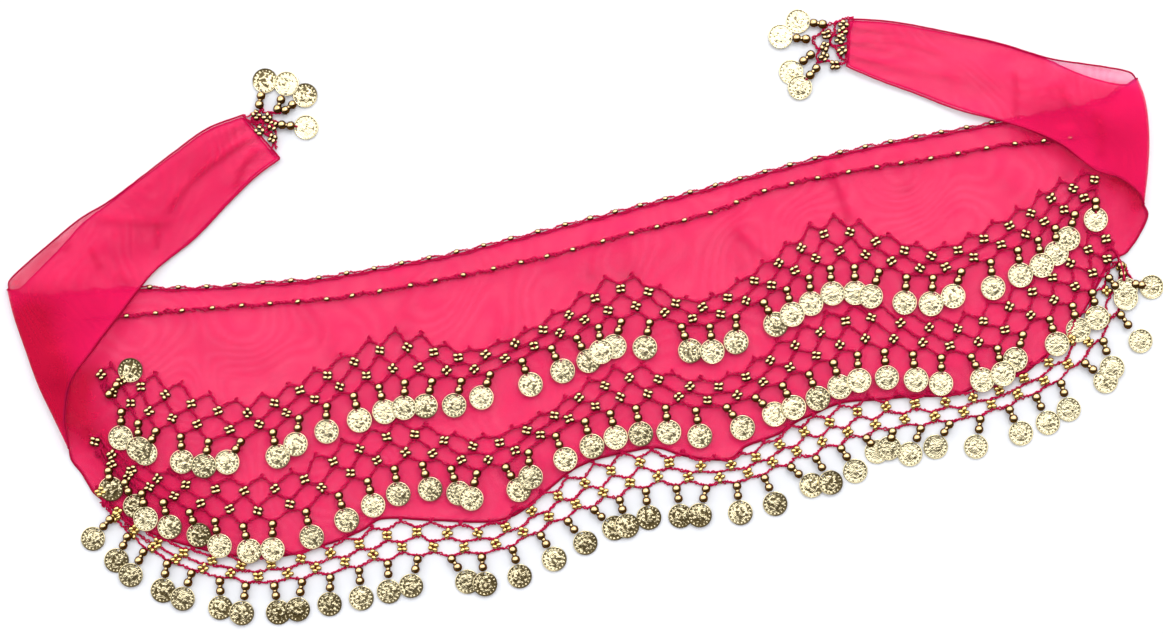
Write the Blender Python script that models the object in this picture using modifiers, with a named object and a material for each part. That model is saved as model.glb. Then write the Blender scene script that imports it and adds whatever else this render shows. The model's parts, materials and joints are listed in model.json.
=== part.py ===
"""Belly dance hip scarf, laid out flat with both ties folded back over the waist.

The sash is cut from doubled chiffon: a back and a front layer with a straight waist edge and a wavy hem,
tapering at each end into a tie. Two crocheted nets lie on the front layer and a third hangs from the hem;
each carries a row of beaded coins. A crocheted edging follows the waist, with a line of beads below it, and
each tie ends in a small net with four coins.

Tables and sizes are in millimetres: X runs along the waist, Y from the hem to the waist, Z up from the table.
The origin is the middle of the whole scarf, on the table.
"""
import math
from collections import namedtuple

import bmesh
import bpy
from mathutils import Vector

MM = 0.001

# ---- driving sizes -------------------------------------------------------------------------------------
CLOTH_WALL = 1.0        # a layer of chiffon, as a wall
NET_WALL = 1.0          # crochet, as a wall
SEAM_GAP = 0.3          # between pieces that are sewn or lie together
PANEL_GAP = 0.45        # from a panel to the fold that it runs into
COIN_REACH = 34.0       # from a net's foot to the far edge of its coins
COIN_WALL = 2.2         # thickness of a row of beads and coins, as one plain strip
EDGING_WIDTH = 2.6      # crochet edging beyond the waist edge
BEAD_LINE_WIDTH = 3.0
TIE_DROP_START = 12.0    # a tie stays level this far beyond the waist edge ...
TIE_DROP_END = 34.0     # ... and is down on the table here
FOLD_STEPS = 8          # facets round each fold
TIE_ACROSS = 10         # facets across a tie
TIE_STEPS = 2           # facets between two sections of a tie
PANEL_STEP = 16.0       # spacing of the points along a panel's edge
CELLS = 39              # a net has a node at each whole cell, 0 to 39

# ---- heights of the lowest face of each level ----------------------------------------------------------
BACK_Z = 0.0
FRONT_Z = BACK_Z + CLOTH_WALL + SEAM_GAP
TRIM_Z = FRONT_Z + CLOTH_WALL + SEAM_GAP
TIE_UNDER_Z = TRIM_Z + NET_WALL + SEAM_GAP
TIE_OVER_Z = TIE_UNDER_Z + CLOTH_WALL + SEAM_GAP

# ---- folds: both layers turn over together, the front one inside the back one --------------------------
FOLD_AXIS_Z = (FRONT_Z + CLOTH_WALL + TIE_UNDER_Z) / 2
INNER_FOLD_RADIUS = FOLD_AXIS_Z - FRONT_Z - CLOTH_WALL / 2
OUTER_FOLD_RADIUS = FOLD_AXIS_Z - BACK_Z - CLOTH_WALL / 2
FOLD_INSET = OUTER_FOLD_RADIUS + CLOTH_WALL / 2     # from a fold's outermost line to its axis

Point = namedtuple("Point", "x y")
Rib = namedtuple("Rib", "cell tip_x tip_y foot_x foot_y")
Section = namedtuple("Section", "outer_x outer_y inner_x inner_y")
EndNet = namedtuple("EndNet", "outline coin_fan")

# The waist edge of the cloth, from the left fold to the right one.
WAIST = [
    Point(-460, 90), Point(-442, 79), Point(-405, 75), Point(-363, 70), Point(-309, 60),
    Point(-261, 54), Point(-213, 49), Point(-116, 48), Point(-50, 51), Point(82, 59),
    Point(214, 68), Point(345, 68), Point(409, 68), Point(432, 71), Point(458, 83),
]

# The outermost line of each fold, from the waist down.
LEFT_FOLD = [Point(-460, 90), Point(-459, 68), Point(-455, 39), Point(-450, 8), Point(-443, -19), Point(-436, -45)]
RIGHT_FOLD = [Point(458, 83), Point(461, 65), Point(459, 38), Point(453, 11), Point(444, -17)]

# The sash's corners below the folds, where the hem turns up into the ties' lower edges.
LEFT_CORNER = [Point(-436, -54), Point(-429, -64)]
RIGHT_CORNER = [Point(424, -52), Point(435, -41), Point(445, -28)]

# The line of beads below the waist.
BEAD_LINE = [
    Point(-405, 53), Point(-348, 48), Point(-281, 41), Point(-213, 33), Point(-167, 31), Point(-98, 31),
    Point(-28, 33), Point(38, 38), Point(103, 42), Point(149, 51), Point(217, 53), Point(287, 51),
    Point(348, 50), Point(391, 46),
]

# Each net from its sewn tips to its feet, with a rib at every crest, trough and slope of its waves.
UPPER_RIBS = [
    Rib(0, -399, 16, -401, -13), Rib(2.5, -357, -1, -367, -36), Rib(6, -287, -35, -296, -63),
    Rib(9, -221, -18, -226, -49), Rib(11.5, -162, -3, -173, -41), Rib(14.5, -106, -29, -105, -50),
    Rib(17, -47, -18, -43, -38), Rib(20, 22, 7, 18, -27), Rib(23, 81, -25, 85, -45),
    Rib(26, 147, 0, 151, -27), Rib(28.5, 199, 20, 198, -18), Rib(32, 270, -19, 268, -41),
    Rib(35, 334, -6, 338, -32), Rib(37, 373, 10, 371, -20), Rib(39, 407, 17, 406, -7),
]
MIDDLE_RIBS = [
    Rib(0, -418, -33, -407, -67), Rib(2.5, -382, -69, -378, -94), Rib(6, -302, -94, -309, -127),
    Rib(9, -231, -84, -231, -119), Rib(11.5, -175, -74, -172, -108), Rib(14.5, -108, -99, -108, -125),
    Rib(17, -50, -87, -53, -107), Rib(20, 15, -65, 15, -97), Rib(23, 82, -89, 85, -111),
    Rib(26, 147, -65, 155, -97), Rib(28.5, 201, -52, 207, -89), Rib(32, 276, -77, 284, -108),
    Rib(35, 339, -59, 352, -91), Rib(37, 372, -41, 390, -76), Rib(39, 405, -29, 417, -55),
]
HEM_RIBS = [
    Rib(0, -421, -75, -412, -105), Rib(2.5, -392, -118, -384, -142), Rib(6, -319, -156, -317, -177),
    Rib(9, -245, -159, -250, -183), Rib(11.5, -187, -153, -191, -181), Rib(14.5, -117, -167, -116, -191),
    Rib(17, -61, -148, -57, -176), Rib(20, 9, -133, 10, -164), Rib(23, 80, -153, 82, -173),
    Rib(26, 141, -135, 147, -164), Rib(28.5, 198, -127, 201, -156), Rib(32, 280, -137, 284, -158),
    Rib(35, 342, -121, 352, -141), Rib(37, 383, -87, 390, -115), Rib(39, 413, -59, 423, -85),
]

# The ties, from the fold to the gathered end: the waist-side edge and the hem-side edge.
LEFT_TIE = [
    Section(-451, 98, -432, -18), Section(-435, 109, -423, 8), Section(-416, 120, -403, 28),
    Section(-393, 132, -376, 54), Section(-367, 145, -342, 81), Section(-337, 158, -305, 101),
    Section(-305, 173, -271, 125), Section(-278, 185, -244, 142), Section(-252, 189, -227, 159),
]
RIGHT_TIE = [
    Section(450, 90, 439, -2), Section(436, 97, 427, 8), Section(418, 106, 410, 18),
    Section(391, 116, 385, 44), Section(355, 133, 352, 64), Section(313, 149, 313, 85),
    Section(286, 160, 281, 105), Section(265, 167, 256, 120), Section(243, 172, 234, 136),
]

# The net at each tie's end, and the fan that its four strings of beads and coins cover.
LEFT_END = EndNet(
    outline=[Point(-251.5, 189.5), Point(-234, 192), Point(-222, 187), Point(-216, 185), Point(-223, 176),
             Point(-226.5, 159.5)],
    coin_fan=[Point(-234, 192.5), Point(-237, 212), Point(-225, 224), Point(-208, 218), Point(-192, 206),
              Point(-187, 194), Point(-191, 172), Point(-203, 160), Point(-222.5, 175.5), Point(-215.5, 185.3)],
)
RIGHT_END = EndNet(
    outline=[Point(242.5, 172.5), Point(233.5, 136), Point(221, 137), Point(210, 142), Point(208, 152),
             Point(208, 162.5), Point(221, 173)],
    coin_fan=[Point(220.5, 173), Point(208, 186), Point(193, 186), Point(173, 174), Point(175, 160),
              Point(177, 141), Point(184, 118), Point(199, 118), Point(209.5, 141.5), Point(207.5, 152),
              Point(207.5, 162.7)],
)

# ---- colours -------------------------------------------------------------------------------------------
CHIFFON = (0.90, 0.03, 0.14)
THREAD = (0.52, 0.01, 0.05)
GOLD = (0.83, 0.68, 0.36)


def material(name, colour, roughness, metallic=0.0):
    """A Principled material of one finish."""
    finish = bpy.data.materials.new(name)
    finish.use_nodes = True
    shader = finish.node_tree.nodes["Principled BSDF"]
    shader.inputs["Base Color"].default_value = (*colour, 1.0)
    shader.inputs["Roughness"].default_value = roughness
    shader.inputs["Metallic"].default_value = metallic
    return finish


def smooth(knots, values, at):
    """The value at a place on the smooth curve through values at rising knots."""
    last = len(knots) - 1
    span = next((i for i in range(last) if at <= knots[i + 1]), last - 1)

    def slope(i):
        low, high = max(i - 1, 0), min(i + 1, last)
        return (values[high] - values[low]) / (knots[high] - knots[low])

    width = knots[span + 1] - knots[span]
    t = (at - knots[span]) / width
    return (
        (2 * t**3 - 3 * t**2 + 1) * values[span]
        + (t**3 - 2 * t**2 + t) * width * slope(span)
        + (3 * t**2 - 2 * t**3) * values[span + 1]
        + (t**3 - t**2) * width * slope(span + 1)
    )


def waist_y(x):
    """The height on the plan of the waist edge at x."""
    x = min(max(x, WAIST[0].x), WAIST[-1].x)
    return smooth([p.x for p in WAIST], [p.y for p in WAIST], x)


def rib_at(ribs, cell):
    """The tip and the foot of a net at one cell, between the table's ribs."""
    cells = [rib.cell for rib in ribs]
    place = {field: smooth(cells, [getattr(rib, field) for rib in ribs], cell) for field in Rib._fields[1:]}
    return Vector((place["tip_x"], place["tip_y"])), Vector((place["foot_x"], place["foot_y"]))


def offset_line(points, distance):
    """A line of plan points moved sideways, to the left of its own direction where distance is positive."""
    moved = []
    for i, point in enumerate(points):
        along = Vector(points[min(i + 1, len(points) - 1)]) - Vector(points[max(i - 1, 0)])
        moved.append((Vector(point) + along.orthogonal().normalized() * distance)[:])
    return moved


def link(obj, finish):
    """Puts a finished object into the scarf's collection."""
    obj.data.materials.append(finish)
    scarf.objects.link(obj)
    return obj


def plate(name, outline, low_z, wall, finish):
    """A flat piece of cloth or trim: an outline in plan, with a wall's thickness above low_z."""
    curve = bpy.data.curves.new(name, "CURVE")
    curve.dimensions = "2D"
    curve.fill_mode = "BOTH"
    curve.extrude = wall / 2 * MM
    spline = curve.splines.new("POLY")
    spline.points.add(len(outline) - 1)
    for point, place in zip(spline.points, outline):
        point.co = (place[0] * MM, place[1] * MM, 0, 1)
    spline.use_cyclic_u = True
    obj = bpy.data.objects.new(name, curve)
    obj.location.z = (low_z + wall / 2) * MM
    return link(obj, finish)


def fold_line(fold, inset):
    """A fold's line from the waist down, moved in by inset towards the middle of the scarf."""
    inward = -1 if fold[0].x > 0 else 1
    depths, xs = [p.y for p in reversed(fold)], [p.x for p in reversed(fold)]
    ys = [fold[0].y + (fold[-1].y - fold[0].y) * j / TIE_ACROSS for j in range(TIE_ACROSS + 1)]
    return [(smooth(depths, xs, y) + inward * inset, y) for y in ys]


def waist_line():
    """Points along the waist edge, from one fold's axis to the other."""
    left, right = (fold_line(fold, FOLD_INSET + PANEL_GAP)[0][0] for fold in (LEFT_FOLD, RIGHT_FOLD))
    steps = round((right - left) / PANEL_STEP)
    xs = [left + (right - left) * i / steps for i in range(steps + 1)]
    return [(x, waist_y(x)) for x in xs]


def panel_outline():
    """The sash between its folds: waist, right fold, hem from right to left, and left fold."""
    left_edge = fold_line(LEFT_FOLD, FOLD_INSET + PANEL_GAP)
    right_edge = fold_line(RIGHT_FOLD, FOLD_INSET + PANEL_GAP)
    outline = waist_line()
    outline += right_edge[1:]
    outline += [tuple(p) for p in reversed(RIGHT_CORNER)]
    hem = [rib_at(HEM_RIBS, cell)[0] for cell in range(CELLS + 1)]
    outline += offset_line(hem, SEAM_GAP)[::-1]
    outline += [tuple(p) for p in reversed(LEFT_CORNER)]
    outline += left_edge[:0:-1]
    return outline


def net_outline(ribs):
    """A net's outline: its tips one way and its feet back."""
    pairs = [rib_at(ribs, cell) for cell in range(CELLS + 1)]
    return [tip[:] for tip, foot in pairs] + [foot[:] for tip, foot in reversed(pairs)]


def coin_outline(ribs, below=None):
    """The strip that a row of beads and coins covers, as far as the tips of the net below it."""
    pairs = [rib_at(ribs, cell) for cell in range(CELLS + 1)]
    far = []
    for cell, (tip, foot) in enumerate(pairs):
        away = (foot - tip).normalized() * COIN_REACH
        if below:
            room = rib_at(below, cell)[0] - foot
            away = room.normalized() * min(COIN_REACH, room.length - 2 * SEAM_GAP)
        far.append((foot + away)[:])
    return offset_line([foot for tip, foot in pairs], -SEAM_GAP) + far[::-1]


def ribbon_outline(line, width, shift):
    """A narrow strip along a line of points, its lower edge moved up by shift."""
    low = [(x, y + shift) for x, y in line]
    high = [(x, y + shift + width) for x, y in line]
    return low + high[::-1]


def bead_line_points():
    """Points at even steps along the line of beads."""
    first, last = BEAD_LINE[0].x, BEAD_LINE[-1].x
    steps = round((last - first) / PANEL_STEP)
    xs = [first + (last - first) * i / steps for i in range(steps + 1)]
    return [(x, smooth([p.x for p in BEAD_LINE], [p.y for p in BEAD_LINE], x)) for x in xs]


def tie_height(x, y, level_z, table_z):
    """A tie's height: level over the sash, then down to the table beyond the waist edge."""
    beyond = y - waist_y(x)
    t = (beyond - TIE_DROP_START) / (TIE_DROP_END - TIE_DROP_START)
    t = min(max(t, 0.0), 1.0)
    return level_z + (table_z - level_z) * (3 * t**2 - 2 * t**3)


def between(sections, steps):
    """A tie's sections with more of them, on smooth curves, between the table's own."""
    count = (len(sections) - 1) * steps
    knots = range(len(sections))
    columns = [[getattr(section, field) for section in sections] for field in Section._fields]
    return [Section(*(smooth(knots, column, i / steps) for column in columns)) for i in range(count + 1)]


def tie_layer(name, fold, sections, radius, level_z, table_z):
    """One layer of a tie: round the fold, back over the sash and down to the table. Heights are mid-wall."""
    outward = 1 if fold[0].x > 0 else -1
    axis = fold_line(fold, FOLD_INSET)
    shell = bmesh.new()
    rows = []
    for i in range(FOLD_STEPS + 1):
        turn = math.pi * i / FOLD_STEPS
        out, z = outward * radius * math.sin(turn), FOLD_AXIS_Z - radius * math.cos(turn)
        rows.append([shell.verts.new(((x + out) * MM, y * MM, z * MM)) for x, y in axis])
    for section in between(sections, TIE_STEPS):
        row = []
        for j in range(TIE_ACROSS + 1):
            x = section.outer_x + (section.inner_x - section.outer_x) * j / TIE_ACROSS
            y = section.outer_y + (section.inner_y - section.outer_y) * j / TIE_ACROSS
            row.append(shell.verts.new((x * MM, y * MM, tie_height(x, y, level_z, table_z) * MM)))
        rows.append(row)
    for near, far in zip(rows, rows[1:]):
        for j in range(TIE_ACROSS):
            shell.faces.new((near[j], near[j + 1], far[j + 1], far[j]))
    bmesh.ops.recalc_face_normals(shell, faces=shell.faces)
    mesh = bpy.data.meshes.new(name)
    shell.to_mesh(mesh)
    shell.free()
    obj = bpy.data.objects.new(name, mesh)
    wall = obj.modifiers.new("wall", "SOLIDIFY")
    wall.thickness = CLOTH_WALL * MM
    wall.offset = 0.0
    wall.use_even_offset = True
    return link(obj, chiffon)


def build_sash():
    """The back and front layers of the sash between its folds."""
    outline = panel_outline()
    plate("body_back", outline, BACK_Z, CLOTH_WALL, chiffon)
    plate("body_front", outline, FRONT_Z, CLOTH_WALL, chiffon)


def build_ties():
    """Each tie's two layers: the front layer turns inside and the back layer outside it."""
    levels = {
        "under": (INNER_FOLD_RADIUS, TIE_UNDER_Z, BACK_Z),
        "over": (OUTER_FOLD_RADIUS, TIE_OVER_Z, FRONT_Z),
    }
    for layer, (radius, level_z, table_z) in levels.items():
        heights = (radius, level_z + CLOTH_WALL / 2, table_z + CLOTH_WALL / 2)
        tie_layer(f"tie_left_{layer}", LEFT_FOLD, LEFT_TIE, *heights)
        tie_layer(f"tie_right_{layer}", RIGHT_FOLD, RIGHT_TIE, *heights)


def build_waist():
    """The crochet edging beyond the waist edge, and the line of beads on the front layer."""
    line = waist_line()[1:-1]
    plate("waist_edging", ribbon_outline(line, EDGING_WIDTH, SEAM_GAP), BACK_Z, FRONT_Z + CLOTH_WALL, thread)
    outline = ribbon_outline(bead_line_points(), BEAD_LINE_WIDTH, -BEAD_LINE_WIDTH / 2)
    plate("bead_line", outline, TRIM_Z, NET_WALL, thread)


def build_nets():
    """The three nets and their rows of coins."""
    plate("net_upper", net_outline(UPPER_RIBS), TRIM_Z, NET_WALL, thread)
    plate("net_middle", net_outline(MIDDLE_RIBS), TRIM_Z, NET_WALL, thread)
    plate("net_hem", net_outline(HEM_RIBS), BACK_Z, NET_WALL, thread)
    plate("coins_upper", coin_outline(UPPER_RIBS, MIDDLE_RIBS), TRIM_Z, COIN_WALL, gold)
    plate("coins_middle", coin_outline(MIDDLE_RIBS), TRIM_Z, COIN_WALL, gold)
    plate("coins_hem", coin_outline(HEM_RIBS), BACK_Z, COIN_WALL, gold)


def build_tie_ends():
    """The small net and the four strings of coins at each tie's end."""
    for side, end in (("left", LEFT_END), ("right", RIGHT_END)):
        plate(f"tie_{side}_net", end.outline, BACK_Z, NET_WALL, thread)
        plate(f"tie_{side}_coins", end.coin_fan, BACK_Z, COIN_WALL, gold)


for old in list(bpy.data.objects):
    bpy.data.objects.remove(old)
scarf = bpy.data.collections.new("hip_scarf")
bpy.context.scene.collection.children.link(scarf)
chiffon = material("chiffon", CHIFFON, 0.75)
thread = material("crochet_thread", THREAD, 0.8)
gold = material("gold", GOLD, 0.3, metallic=1.0)
build_sash()
build_ties()
build_waist()
build_nets()
build_tie_ends()
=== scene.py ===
"""Belly dance hip scarf: doubled chiffon with crocheted nets, beads and coins, laid out flat.

Lengths in the tables are in millimetres in the frame's own plan, X along the waist and Y from hem to waist.
"""

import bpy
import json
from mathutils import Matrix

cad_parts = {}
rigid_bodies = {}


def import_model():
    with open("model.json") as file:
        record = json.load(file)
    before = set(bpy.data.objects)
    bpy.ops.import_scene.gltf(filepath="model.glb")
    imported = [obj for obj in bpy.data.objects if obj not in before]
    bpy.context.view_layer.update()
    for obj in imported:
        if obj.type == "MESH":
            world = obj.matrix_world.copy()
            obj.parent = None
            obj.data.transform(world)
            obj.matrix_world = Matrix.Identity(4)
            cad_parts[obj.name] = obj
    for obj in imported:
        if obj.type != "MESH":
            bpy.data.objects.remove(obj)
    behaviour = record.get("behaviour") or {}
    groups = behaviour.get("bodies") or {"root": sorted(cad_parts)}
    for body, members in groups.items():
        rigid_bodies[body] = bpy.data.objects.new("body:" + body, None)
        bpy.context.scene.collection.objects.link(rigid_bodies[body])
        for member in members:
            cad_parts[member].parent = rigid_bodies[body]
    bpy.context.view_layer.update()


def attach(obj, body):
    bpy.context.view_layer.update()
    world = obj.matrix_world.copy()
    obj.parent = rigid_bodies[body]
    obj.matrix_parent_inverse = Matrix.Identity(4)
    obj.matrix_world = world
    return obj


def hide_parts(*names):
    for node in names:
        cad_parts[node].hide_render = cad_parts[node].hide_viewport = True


bl_info = {
    "name": "Belly dance hip scarf",
    "version": (1, 0, 0),
    "blender": (4, 5, 0),
    "location": "3D View > Sidebar > Hip scarf",
    "description": "Makes a chiffon hip scarf with crocheted nets, beads and coins",
    "category": "Object",
}

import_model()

import json
import math
import random
from collections import namedtuple

import bmesh
import bpy
import numpy as np
from bpy.props import FloatProperty, FloatVectorProperty, PointerProperty
from mathutils import Matrix, Vector, noise

MM = 0.001
BODY = "root"
SMALL, LARGE = 0, 1     # the patterns of beads

Dangle = namedtuple("Dangle", "x y lean reach tone")
Level = namedtuple("Level", "body tie floor fold_out trim")

# ---- the pattern: plan tables in mm --------------------------------------------------------------------
WAIST = [
    (-460, 90), (-442, 79), (-405, 75), (-363, 70), (-309, 60), (-261, 54), (-213, 49), (-116, 48),
    (-50, 51), (82, 59), (214, 68), (345, 68), (409, 68), (432, 71), (458, 83),
]
LEFT_FOLD = [(-460, 90), (-459, 68), (-455, 39), (-450, 8), (-443, -19), (-436, -45)]
RIGHT_FOLD = [(458, 83), (461, 65), (459, 38), (453, 11), (444, -17)]
LEFT_CORNER = [(-436, -45), (-436, -54), (-430, -66), (-424, -83)]
RIGHT_CORNER = [(444, -17), (446, -26), (434, -43), (423, -53)]
HEM = [
    (-424, -83), (-410, -100), (-389, -121), (-344, -146), (-321, -155), (-286, -162), (-251, -160),
    (-219, -154), (-202, -148), (-161, -157), (-115, -167), (-96, -165), (-80, -158), (-66, -150),
    (-45, -139), (-25, -134), (4, -133), (25, -134), (44, -144), (63, -151), (83, -154), (94, -147),
    (122, -142), (139, -135), (152, -132), (177, -127), (205, -130), (234, -133), (264, -138), (277, -137),
    (302, -130), (323, -132), (339, -124), (350, -118), (378, -95), (393, -77), (409, -57), (423, -53),
]
BEAD_LINE = [
    (-405, 53), (-348, 48), (-281, 41), (-213, 33), (-167, 31), (-98, 31), (-28, 33), (38, 38), (103, 42),
    (149, 51), (217, 53), (287, 51), (348, 50), (391, 46), (425, 44),
]

# Each net's ribs: the cell it stands at, its tip's X and Y, and its foot's X and Y.
UPPER_RIBS = [
    (0, -399, 16, -398, -11), (2.5, -357, -1, -371, -38), (4.5, -317, -24, -336, -54),
    (6, -287, -35, -298, -64), (9, -221, -18, -226, -49), (11.5, -162, -3, -173, -41),
    (14.5, -106, -29, -105, -50), (17, -47, -18, -43, -38), (20, 22, 7, 18, -27), (23, 81, -25, 85, -45),
    (26, 147, 0, 151, -27), (28.5, 199, 20, 198, -18), (32, 270, -19, 268, -41), (35, 334, -6, 338, -32),
    (37, 373, 10, 371, -20), (39, 410, 17, 407, -6),
]
MIDDLE_RIBS = [
    (0, -418, -33, -408, -66), (2.5, -382, -69, -378, -94), (6, -302, -95, -311, -130),
    (7.5, -266, -97, -273, -131), (9, -231, -85, -231, -120), (11.5, -175, -74, -172, -108),
    (14.5, -108, -99, -108, -125), (17, -50, -87, -53, -107), (18, -28, -76, -27, -100),
    (20, 15, -65, 15, -97), (23, 82, -89, 85, -111), (26, 147, -65, 155, -97), (28.5, 201, -52, 207, -89),
    (32, 276, -77, 284, -108), (35, 339, -59, 352, -91), (37, 372, -41, 390, -76), (39, 405, -29, 417, -59),
]
HEM_RIBS = [
    (0, -421, -75, -412, -105), (2.5, -392, -118, -384, -142), (6, -319, -156, -317, -177),
    (9, -245, -159, -250, -183), (11.5, -187, -153, -191, -181), (14.5, -117, -167, -116, -191),
    (17, -61, -148, -57, -176), (20, 9, -133, 10, -164), (23, 80, -153, 82, -173),
    (26, 141, -135, 147, -164), (28.5, 198, -127, 201, -156), (32, 280, -137, 284, -158),
    (35, 342, -121, 352, -142), (37, 383, -87, 391, -116), (39, 413, -56, 424, -78),
]

# Each tie from its fold to the gathered end: X and Y on the waist-side edge, then on the hem-side edge.
LEFT_TIE_OVER = [
    (-456, 96, -435, -22), (-438, 108, -425, 6), (-417, 120, -403, 28), (-393, 133, -374, 54),
    (-366, 143, -342, 81), (-337, 157, -305, 101), (-305, 173, -271, 125), (-278, 185, -246, 141),
    (-249, 190, -226, 150),
]
LEFT_TIE_UNDER = [
    (-449, 88, -433, -18), (-430, 101, -422, 9), (-411, 114, -400, 30), (-391, 129, -372, 55),
    (-365, 142, -341, 82), (-336, 156, -306, 102), (-305, 171, -272, 126), (-278, 183, -248, 142),
    (-250, 188, -229, 151),
]
RIGHT_TIE_OVER = [
    (453, 88, 442, -8), (438, 95, 429, 7), (418, 102, 411, 17), (391, 112, 385, 45), (355, 131, 352, 66),
    (313, 149, 313, 85), (286, 160, 281, 105), (265, 167, 256, 120), (241, 173, 232, 136),
]
RIGHT_TIE_UNDER = [
    (449, 79, 440, -4), (435, 83, 427, 10), (414, 94, 407, 22), (390, 111, 383, 46), (355, 130, 351, 67),
    (314, 147, 314, 87), (287, 158, 282, 107), (266, 165, 258, 121), (242, 171, 234, 137),
]

# Soft folds and painted shadows, placed one by one: how high, how wide, how much they gather the cloth and
# deepen its colour, and where they run.
# In a fold the deeper colour is partly denser cloth and partly painted crease shade; the flat entries are
# painted shadows and painted shade only.
BODY_CREASES_AND_SHADOWS = [
    (2.6, 8, 0.10, [(-149, 49), (-152, 21), (-162, -10)]),
    (2.0, 11, 0.06, [(-62, 52), (-68, 4), (-83, -33)]), (2.2, 6, 0.10, [(7, 51), (4, 30), (0, 7)]),
    (2.6, 7, 0.12, [(32, 50), (31, 26), (30, 2)]),
    (1.8, 3, 0.26, [(118, 30), (128, 12), (139, 0), (148, -18)]),
    (2.0, 7, 0.10, [(124, 56), (121, 17), (118, -10)]), (2.6, 3, 0.46, [(200, 66), (207, 41), (211, 11)]),
    (2.2, 7, 0.10, [(262, 68), (261, 46), (259, 26)]), (2.4, 6, 0.18, [(396, 58), (392, 37), (386, 14)]),
    (2.4, 16, 0.04, [(-330, 55), (-300, 20), (-250, -8)]),
    (3.0, 14, 0.08, [(-430, 40), (-426, 0), (-418, -40)]),
    (2.4, 18, 0.03, [(-60, 30), (60, 26), (160, 34)]), (2.0, 10, 0.08, [(330, 40), (350, 12), (366, -12)]),
    (2.0, 10, 0.06, [(-120, -110), (-60, -128), (10, -118)]),
    (2.0, 10, 0.06, [(170, -100), (230, -118), (300, -112)]),
    (2.4, 10, 0.08, [(-230, 40), (-215, 10), (-210, -20)]),
    # Painted shadows of the ties on the sash, along their hem-side edges and beside the right fold: nearly flat,
    # a deeper colour only.
    (0.3, 6, 0.35, [(352, 60), (385, 38), (403, 18), (428, 2)]),
    (0.3, 10, 0.50, [(420, 10), (434, 0), (440, -12), (439, -24)]),
    (0.3, 6, 0.30, [(-360, 66), (-378, 42), (-404, 14), (-424, -14)]),
    # Painted shade at the left ends of the upper and middle nets.
    (0.2, 9, 0.30, [(-420, 14), (-400, 8), (-388, 4)]),
    (0.2, 9, 0.30, [(-426, -34), (-412, -44), (-402, -62)]),
]
LEFT_TIE_CREASES_AND_SHADE = [
    (1.1, 3.2, 0.34, [(-243, 173), (-270, 161), (-291, 151), (-315, 133), (-325, 120)]),
    (1.0, 3.0, 0.34, [(-240, 164), (-254, 152), (-262, 141), (-268, 132)]),
    (1.0, 4.5, 0.14, [(-250, 185), (-276, 167), (-304, 148)]),
    (0.7, 2.8, 0.30, [(-388, 110), (-386, 100), (-382, 90)]),
    (0.7, 2.8, 0.28, [(-331, 120), (-334, 109), (-336, 97)]),
    (0.6, 2.8, 0.24, [(-404, 122), (-406, 115), (-408, 108)]),
    (0.9, 4.0, 0.20, [(-385, 133), (-361, 125), (-329, 118), (-315, 116)]),
    (0.6, 3.0, 0.24, [(-372, 86), (-366, 78), (-360, 74)]),
    (3.0, 16, 0.10, [(-440, 60), (-400, 90), (-350, 118), (-300, 150)]),
    (2.6, 14, 0.10, [(-438, 0), (-420, 40), (-380, 80)]),
    (1.6, 10, 0.12, [(-360, 138), (-320, 156), (-280, 176)]),
    # Painted shade: a flat, wide darkening of the left tie, with no fold under it.
    (0.0, 60, 0.24, [(-430, 40), (-350, 100), (-240, 165)]),
]
RIGHT_TIE_CREASES = [
    (0.8, 3.4, 0.16, [(240, 154), (255, 153), (278, 147), (315, 129)]),
    (0.8, 3.4, 0.16, [(238, 143), (252, 138), (278, 126), (320, 108)]),
    (0.8, 4.5, 0.10, [(242, 166), (280, 157), (318, 145), (356, 130)]),
    (0.9, 2.8, 0.28, [(363, 110), (361, 92), (356, 70)]),
    (0.6, 2.8, 0.18, [(384, 86), (393, 88), (402, 88)]),
    (0.7, 2.8, 0.28, [(395, 88), (397, 79), (400, 70)]),
    (1.0, 4.0, 0.18, [(418, 68), (421, 48), (416, 24)]),
    (2.6, 14, 0.08, [(300, 128), (350, 102), (410, 70), (440, 30)]),
    (1.8, 9, 0.12, [(400, 100), (418, 88), (440, 72)]),
]
# Where a tie's over layer lies alone on the table: how wide, how much more it is gathered, and where it runs.
# The right one makes its strip paler; the left one darkens its strip, which is painted shade.
LEFT_LENS = (6, 0.40, [(-456, 92), (-447, 97), (-431, 107), (-416, 117)])
RIGHT_LENS = (6, -0.48, [(456, 82), (440, 88), (424, 93), (408, 104), (398, 109)])
# Where four layers lie close together, the cloth is deeper: where, and by how much.
# The last two entries are painted shade, not more layers: beside the right fold's corner, and under the nets at
# the lower left.
DEEP_WIDTH = 26
DEEP = (
    ([(-447, 60), (-443, 25), (-433, -10)], 1.15), ([(380, 62), (420, 50), (446, 40)], 0.4),
    ([(428, 4), (440, -10), (436, -26)], 0.4), ([(-412, -40), (-400, -70), (-350, -115)], 0.35),
)

# Leans of the strings from straight down the cloth, in degrees towards the right, string by string.
UPPER_LEANS = [
    -11, -13, -9, -37, -9, -22, -45, 1, -19, -11, 1, 1, -13, -26, -28, -32, 9, 16, 16, -5, -26, -21, 10, -6,
    -11, 18, 1, -7, -5, -9, -29, -15, -15, -29, -5, -5, -3, -9, -26, -19,
]
MIDDLE_LEANS = [
    14, 13, -3, 3, 11, 0, 2, -11, 2, 7, 1, -3, 7, 6, -22, 19, -5, 12, 5, 1, -1, -3, -2, 27, 38, 16, 9, 3,
    -7, -5, -3, -11, 15, 2, -28, 6, 4, -1, 4, -1,
]
HEM_LEANS = [
    -43, -21, -40, -20, -30, -11, -20, -3, -20, -13, -7, -9, -25, 23, -4, 3, 18, 28, 37, 5, -4, -3, -24, -3,
    11, 38, 20, 21, 60, 75, -33, -41, -19, 16, 14, 6, 39, 8, 16, 26,
]

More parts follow.
